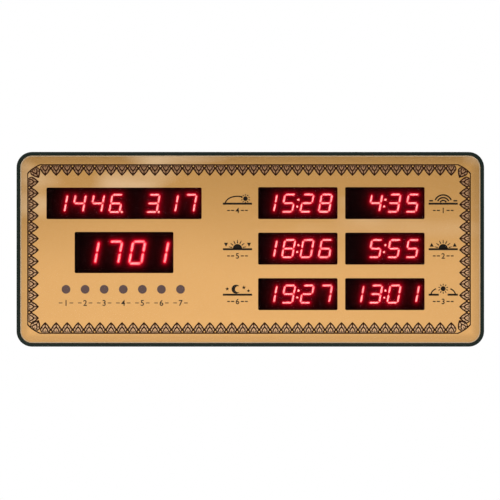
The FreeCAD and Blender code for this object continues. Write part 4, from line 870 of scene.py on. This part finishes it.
def border_outline(inset):
    """The border's outer line: a rectangle whose corners are cut by shallow curves."""
    x = BORDER_X - inset
    z = BORDER_Z - inset
    loop = []
    for side_x, side_z in CORNERS:
        on_side = (side_x * x, side_z * (z - CORNER_Z))
        on_end = (side_x * (x - CORNER_X), side_z * z)
        bulge = (side_x * (x - 0.40 * CORNER_X), side_z * (z - 0.36 * CORNER_Z))
        start, end = (on_side, on_end) if side_x == side_z else (on_end, on_side)
        loop += curve_points(start, bulge, end, CORNER_STEPS) + [end]
    return loop


def make_border():
    lines = [[border_outline(0), border_outline(BORDER_LINE)]]
    fills = []

    def add_leaf(origin, inward):
        for shape in leaf_lines():
            lines.append(turned(shape, origin, inward))
        fills.append(turned([leaf_outline(LEAF_FILL)], origin, inward))

    def add_knot(origin, inward):
        lines.append(turned(knot_shape(), origin, inward))

    base_z = BORDER_Z - BORDER_LINE
    base_x = BORDER_X - BORDER_LINE
    for side in (-1, 1):
        for number in range(ROW_LEAVES):
            x = ROW_FIRST + number * ROW_PITCH
            add_leaf((x, side * base_z), (0, -side))
            if number:
                add_knot((x - ROW_PITCH / 2, side * base_z), (0, -side))
        for number in range(COLUMN_LEAVES):
            z = COLUMN_FIRST - number * COLUMN_PITCH
            add_leaf((side * base_x, z), (-side, 0))
            if number:
                add_knot((side * base_x, z + COLUMN_PITCH / 2), (-side, 0))
    for side_x in (-1, 1):
        for side_z in (-1, 1):
            middle = (side_x * (base_x - 0.42 * CORNER_X), side_z * (base_z - 0.40 * CORNER_Z))
            add_leaf(middle, (-side_x * CORNER_LEAN, -side_z))
    plates("border_lines", shifted(lines, *BORDER_SHIFT), INK_LINE, ink_brown)
    plates("border_leaf_fill", shifted(fills, *BORDER_SHIFT), INK_FILL, ink_fill)


make_border()


EDGE_INSET = 0.15 * MM
EDGE_LINE = 0.7 * MM
LENS_CORNER = 12.2 * MM


def make_edge_line():
    """A painted highlight: a light printed ring along the rim of the film, standing in for the shine of
    the polished lens edge.
    """
    low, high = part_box("front_lens")
    loops = []
    for inset in (EDGE_INSET, EDGE_INSET + EDGE_LINE):
        width = high.x - low.x - 2 * inset
        height = high.z - low.z - 2 * inset
        loops.append(rounded_rectangle((low.x + high.x) / 2, (low.z + high.z) / 2, width, height,
                                       LENS_CORNER - inset))
    plates("lens_edge_highlight", [loops], INK_LINE, painted_edge_highlight)


make_edge_line()


# ---- Printed labels: sun and moon signs for the six times, and plain numbers ----

SIGN_RISE = 4 * MM
SIGN_HALF = 15 * MM
HORIZON = -4.6 * MM
SKY_REACH = 12.5 * MM
SKY_RISE = 7.6 * MM
SKY_STEP = 6
RAY_GAP = 0.8 * MM
STAR_NOTCH = 0.42
SIGN_PEN = 1.5 * MM
GROUND_PEN = 2.0 * MM
SKY_PEN = 1.3 * MM
RAY_PEN = 1.15 * MM


def sun(x, z, radius, reach, rays=10, turn=360):
    """A sun disc, or the part of it up to an angle, with short rays round it."""
    disc = circle_loop(x, z, radius, 20) if turn == 360 else arc_points(x, z, radius, 0, turn, 20)
    shapes = [[disc]]
    for ray in range(rays):
        angle = turn * (ray + 0.5) / rays
        near = polar(x, z, radius + RAY_GAP, angle)
        far = polar(x, z, radius + reach, angle)
        shapes.append([stroke(near, far, RAY_PEN, 0.6)])
    return shapes


def horizon(runs=((-1, 1),)):
    """A ground line, made of runs between shares of the sign's half width."""
    return [level(SIGN_HALF * start, SIGN_HALF * end, HORIZON, GROUND_PEN) for start, end in runs]


def sky_path(start, end):
    """The sun's path as an arc over the ground line, between two angles in degrees."""
    angles = [math.radians(angle) for angle in range(start, end + 1, SKY_STEP)]
    run = [(SKY_REACH * math.cos(angle), HORIZON + SKY_RISE * math.sin(angle)) for angle in angles]
    return [[band(run, SKY_PEN)]]


def dawn_sign():
    """First light: low arcs above the ground line."""
    shapes = horizon()
    for radius in (3.4 * MM, 6.2 * MM, 9.0 * MM):
        shapes.append([band(arc_points(0, HORIZON, radius, 24, 156, 18), SIGN_PEN)])
    for side in (-1, 1):
        shapes.append(level(side * 10.5 * MM, side * 14.4 * MM, -1.6 * MM, SIGN_PEN))
    return shapes


def half_sun_sign(rise):
    """A half sun on the ground line, between two arrow heads that point up for a positive rise."""
    shapes = horizon() + sun(0, HORIZON + 0.5 * MM, 4.8 * MM, 4.2 * MM, 7, 180)
    return shapes + [triangle(side * 11.8 * MM, 2.1 * MM, -rise, rise) for side in (-1, 1)]


def sunrise_sign():
    return half_sun_sign(2 * MM)


def noon_sign():
    """The sun at the top of its path."""
    ground = horizon(((-1, -0.3), (0.3, 1)))
    return ground + sky_path(6, 54) + sky_path(126, 174) + sun(0, 1.6 * MM, 2.6 * MM, 2.6 * MM)


def afternoon_sign():
    """The sun partway down its path."""
    return horizon() + sky_path(66, 174) + sun(8.2 * MM, 0.6 * MM, 2.4 * MM, 2.4 * MM)


def sunset_sign():
    return half_sun_sign(-2 * MM)


def star(x, z, radius):
    """A five-pointed star: its tips and the notches between them."""
    return [[polar(x, z, radius * (STAR_NOTCH if step % 2 else 1), 90 + 36 * step) for step in range(10)]]


def night_sign():
    """A crescent moon with stars above the ground line."""
    outer = arc_points(-1.5 * MM, 1.1 * MM, 4.6 * MM, 40, 320, 24)
    inner = arc_points(0.7 * MM, 1.1 * MM, 3.2 * MM, 308, 52, 18)
    stars = [star(6.5 * MM, 2.8 * MM, 2.3 * MM), star(11.3 * MM, -0.6 * MM, 1.9 * MM),
             star(-10.5 * MM, 1.4 * MM, 2.1 * MM)]
    return horizon() + [[outer + inner]] + stars


# Figures in the built-in face: their height as a share of its type size, and how much bolder
FIGURE_SHARE = 0.72
FIGURE_WEIGHT = 0.12 * MM
WELD = 1e-7


def number_mesh(name, text, height):
    """Outlines of a number, as a mesh lying in (x, y) about its middle."""
    curve = bpy.data.curves.new(name, "FONT")
    curve.body = text
    curve.size = height / FIGURE_SHARE
    curve.align_x = "CENTER"
    curve.align_y = "CENTER"
    curve.extrude = (INK_LINE[1] - INK_LINE[0]) / 2
    curve.offset = FIGURE_WEIGHT
    curve.resolution_u = 4
    holder = bpy.data.objects.new(name, curve)
    scene.collection.objects.link(holder)
    bpy.context.view_layer.update()
    mesh = bpy.data.meshes.new_from_object(holder.evaluated_get(bpy.context.evaluated_depsgraph_get()))
    bpy.data.objects.remove(holder)
    return mesh


def print_numbers(name, numbers, height, material):
    """One piece with several numbers, each given by its text and place."""
    merged = bmesh.new()
    middle = (INK_LINE[0] + INK_LINE[1]) / 2
    for text, x, z in numbers:
        mesh = number_mesh(name, text, height)
        heights = [vertex.co.y for vertex in mesh.vertices]
        centre_y = (min(heights) + max(heights)) / 2
        for vertex in mesh.vertices:
            across, up, out = vertex.co
            vertex.co = (x + across, -middle - out, z + up - centre_y)
        merged.from_mesh(mesh)
        bpy.data.meshes.remove(mesh)
    bmesh.ops.remove_doubles(merged, verts=merged.verts, dist=WELD)
    bmesh.ops.recalc_face_normals(merged, faces=merged.faces)
    mesh = bpy.data.meshes.new(name)
    merged.to_mesh(mesh)
    merged.free()
    link_piece(name, mesh, material)


def side_dashes(x, z, runs, pen):
    """Short dashes on both sides of a number, between distances from it."""
    return [level(x + side * near, x + side * far, z, pen) for side in (-1, 1) for near, far in runs]


SIGNS = {"fajr": dawn_sign, "ishraq": sunrise_sign, "dhuhr": noon_sign,
         "asr": afternoon_sign, "maghrib": sunset_sign, "isha": night_sign}
RIGHT_SIGN_X = 198.1 * MM
MIDDLE_SIGN_X = -13.2 * MM
PRAYER_FIGURE = 5.6 * MM
PRAYER_DROP = -7.5 * MM
PRAYER_DASHES = ((3.4 * MM, 6.6 * MM), (7.8 * MM, 10.6 * MM))


def make_prayer_labels():
    dashes = []
    numbers = []
    for number, (name, draw) in enumerate(SIGNS.items(), 1):
        x = RIGHT_SIGN_X if name in RIGHT_COLUMN else MIDDLE_SIGN_X
        z = node_centre(name + "_display")[1]
        plates(name + "_sign", shifted(draw(), x, z + SIGN_RISE), INK_LINE, ink_black)
        numbers.append((str(number), x, z + PRAYER_DROP))
        dashes += side_dashes(x, z + PRAYER_DROP, PRAYER_DASHES, 1.1 * MM)
    plates("number_dashes", dashes, INK_LINE, ink_black)
    print_numbers("prayer_numbers", numbers, PRAYER_FIGURE, ink_black)


WEEKDAYS = 7
WEEKDAY_X = -130.5 * MM
WEEKDAY_PITCH = 19.6 * MM
WEEKDAY_NUMBER_Z = -55.1 * MM
WEEKDAY_FIGURE = 6 * MM
WEEKDAY_DASHES = ((3.6 * MM, 7.4 * MM),)


def make_weekday_numbers():
    numbers = []
    dashes = []
    for day in range(WEEKDAYS):
        x = WEEKDAY_X + (day - (WEEKDAYS - 1) / 2) * WEEKDAY_PITCH
        numbers.append((str(day + 1), x, WEEKDAY_NUMBER_Z))
        dashes += side_dashes(x, WEEKDAY_NUMBER_Z, WEEKDAY_DASHES, 0.8 * MM)
    print_numbers("weekday_numbers", numbers, WEEKDAY_FIGURE, ink_grey)
    plates("weekday_dashes", dashes, INK_LINE, ink_grey)


make_prayer_labels()
make_weekday_numbers()


# ---- Rear details: a bare label sheet, and raised signs over the keys ----

LABEL_X = 60 * MM
LABEL_SIZE = (68 * MM, 38 * MM)
LABEL_DEPTHS = (0.1 * MM, 0.28 * MM)
LABEL_INK_DEPTHS = (0.06 * MM, 0.09 * MM)
LABEL_CORNER = 1.2 * MM
RULE_INSETS = (4 * MM, 4.8 * MM)
RULE_CORNER = 1 * MM
RULE_SHARE = 0.46
RULE_PITCH = 8.5 * MM
RULE_PEN = 0.35 * MM


def make_rating_label():
    """A bare silver sheet in its recess, with only a ruled frame and three lines."""
    width, height = LABEL_SIZE
    sheet = rounded_rectangle(LABEL_X, 0, width, height, LABEL_CORNER)
    plates("rating_label", [[sheet]], LABEL_DEPTHS, label_silver)
    rules = [[rounded_rectangle(LABEL_X, 0, width - inset, height - inset, RULE_CORNER)
              for inset in RULE_INSETS]]
    reach = RULE_SHARE * width
    for row in (-1, 0, 1):
        rules.append(level(LABEL_X - reach, LABEL_X + reach, row * RULE_PITCH, RULE_PEN))
    plates("rating_label_rules", rules, LABEL_INK_DEPTHS, ink_black)


KEY_SIGN_RISE = 6.1 * MM
KEY_SIGN_DEPTHS = (2.7 * MM, 2.99 * MM)
KEY_SIGNS = {
    "menu": [level(-1.3 * MM, 1.3 * MM, row * 0.95 * MM, 0.5 * MM) for row in (-1, 0, 1)],
    "down": [triangle(0, 1.5 * MM, 1 * MM, -1.2 * MM)],
    "up": [triangle(0, 1.5 * MM, -1 * MM, 1.2 * MM)],
    "display": [[circle_loop(0, 0, 1.5 * MM), circle_loop(0, 0, 1.1 * MM)],
                [stroke((0, -0.15 * MM), (0, 0.95 * MM), 0.35 * MM)],
                level(0.17 * MM, 0.85 * MM, 0, 0.35 * MM)],
}


def make_key_signs():
    """Small raised signs on the key recess's floor: list, down, up and clock."""
    shapes = []
    for name, sign in KEY_SIGNS.items():
        x, z = node_centre(name + "_button")
        shapes += shifted(sign, x, z + KEY_SIGN_RISE)
    plates("key_signs", shapes, KEY_SIGN_DEPTHS, sign_white)


GRIP_HALF = 6 * MM
GRIP_INSET = 5 * MM
GRIP_PITCH = 1.8 * MM
GRIP_DEPTHS = (0.02 * MM, 0.25 * MM)


def make_door_grips():
    """Three raised lines for the thumb, near the free edge of the battery door."""
    x = node_centre("battery_door")[0]
    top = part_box("battery_door")[1].z
    ridges = []
    for row in range(3):
        ridges.append(level(x - GRIP_HALF, x + GRIP_HALF, top - GRIP_INSET - GRIP_PITCH * row, 0.8 * MM))
    plates("door_grips", ridges, GRIP_DEPTHS, materials["door_black"], "battery_flap")


GROOVE = (9.1 * MM, 8.8 * MM)
MARK_LIFT = (0.01 * MM, 0.05 * MM)
PLUS_RISE = 5 * MM
PLUS_HALF = 1.8 * MM
PLUS_PEN = 0.6 * MM


def make_cell_mark():
    """The rim groove and the plus sign on the coin cell's can."""
    x, z = node_centre("coin_cell")
    face = back_of("coin_cell")
    marks = [[circle_loop(x, z, radius, 48) for radius in GROOVE]]
    plus_z = z + PLUS_RISE
    marks.append(level(x - PLUS_HALF, x + PLUS_HALF, plus_z, PLUS_PEN))
    for side in (-1, 1):
        near = (x, plus_z + side * PLUS_PEN / 2)
        marks.append([stroke(near, (x, plus_z + side * PLUS_HALF), PLUS_PEN)])
    depths = (face - MARK_LIFT[1], face - MARK_LIFT[0])
    plates("cell_mark", marks, depths, ink_black)


make_rating_label()
make_key_signs()
make_door_grips()
make_cell_mark()


# ---- Stage, lamps and camera ----

# The image: metres to a pixel at the case's front, its side in pixels, and the case's middle in it
PIXEL = 0.480 / 467.8
IMAGE_PIXELS = 500
OBJECT_PIXEL = (250.33, 249.3)
CAMERA_DISTANCE = 3.2
SENSOR_WIDTH = 36
FLOOR_Z = -0.62
FLOOR_RADIUS = 1.5
FLOOR_STEPS = 96


def make_floor():
    """A round pale floor well below the clock."""
    mesh = bpy.data.meshes.new("floor")
    rim = circle_loop(0, 0, FLOOR_RADIUS, FLOOR_STEPS)
    mesh.from_pydata([(x, y, FLOOR_Z) for x, y in rim], [], [range(FLOOR_STEPS)])
    floor = bpy.data.objects.new("floor", mesh)
    scene.collection.objects.link(floor)
    paint = Paint("floor_pale")
    tint = paint.blend(paint.noise(0.4, 2.0), (0.86, 0.86, 0.86), (0.9, 0.9, 0.9))
    mesh.materials.append(paint.finish(paint.principled(tint, 0.7, 0.0, 0.2)))


def make_world():
    """A plain soft surround that the camera, mirrors and glass see as white."""
    world = bpy.data.worlds.new("surround")
    scene.world = world
    world.use_nodes = True
    nodes = world.node_tree.nodes
    links = world.node_tree.links
    nodes.clear()
    rays = nodes.new("ShaderNodeLightPath")
    seen = rays.outputs["Is Camera Ray"]
    for name in ("Is Glossy Ray", "Is Transmission Ray"):
        either = nodes.new("ShaderNodeMath")
        either.operation = "MAXIMUM"
        links.new(seen, either.inputs[0])
        links.new(rays.outputs[name], either.inputs[1])
        seen = either.outputs["Value"]
    mix = nodes.new("ShaderNodeMixShader")
    links.new(seen, mix.inputs["Fac"])
    for number, colour, strength in ((1, (0.97, 0.98, 1.0, 1), 0.66), (2, (1, 1, 1, 1), 1.0)):
        ground = nodes.new("ShaderNodeBackground")
        ground.inputs["Color"].default_value = colour
        ground.inputs["Strength"].default_value = strength
        links.new(ground.outputs["Background"], mix.inputs[number])
    output = nodes.new("ShaderNodeOutputWorld")
    links.new(mix.outputs["Shader"], output.inputs["Surface"])


def area_lamp(name, place, width, height, power, colour=(1, 1, 1)):
    """A rectangular lamp aimed at the middle of the clock."""
    lamp = bpy.data.lights.new(name, "AREA")
    lamp.shape = "RECTANGLE"
    lamp.size = width
    lamp.size_y = height
    lamp.energy = power
    lamp.color = colour
    holder = bpy.data.objects.new(name, lamp)
    scene.collection.objects.link(holder)
    holder.location = place
    holder.rotation_euler = (-Vector(place)).to_track_quat("-Z", "Y").to_euler()


def make_camera():
    """Straight on from the front, with the case's front at PIXEL metres to a pixel."""
    camera = bpy.data.cameras.new("camera")
    camera.sensor_width = SENSOR_WIDTH
    camera.lens = SENSOR_WIDTH * (CAMERA_DISTANCE + cad_low.y) / (PIXEL * IMAGE_PIXELS)
    camera.clip_start = 0.1
    camera.clip_end = 50
    holder = bpy.data.objects.new("camera", camera)
    scene.collection.objects.link(holder)
    centre = (cad_low + cad_high) / 2
    right = centre.x + (IMAGE_PIXELS / 2 - OBJECT_PIXEL[0]) * PIXEL
    up = centre.z - (IMAGE_PIXELS / 2 - OBJECT_PIXEL[1]) * PIXEL
    holder.location = (right, -CAMERA_DISTANCE, up)
    holder.rotation_euler = (math.pi / 2, 0, 0)
    scene.camera = holder


make_floor()
make_world()
area_lamp("low_key", (-0.1, -1.5, -0.45), 0.8, 0.3, 3.5, (1.0, 0.985, 0.96))
area_lamp("top_soft", (0.3, -0.4, 1.3), 1.2, 0.6, 6.0)
area_lamp("rear_soft", (0.4, 1.4, 0.6), 1.0, 1.0, 12.0)
make_camera()
scene.view_settings.view_transform = "Standard"
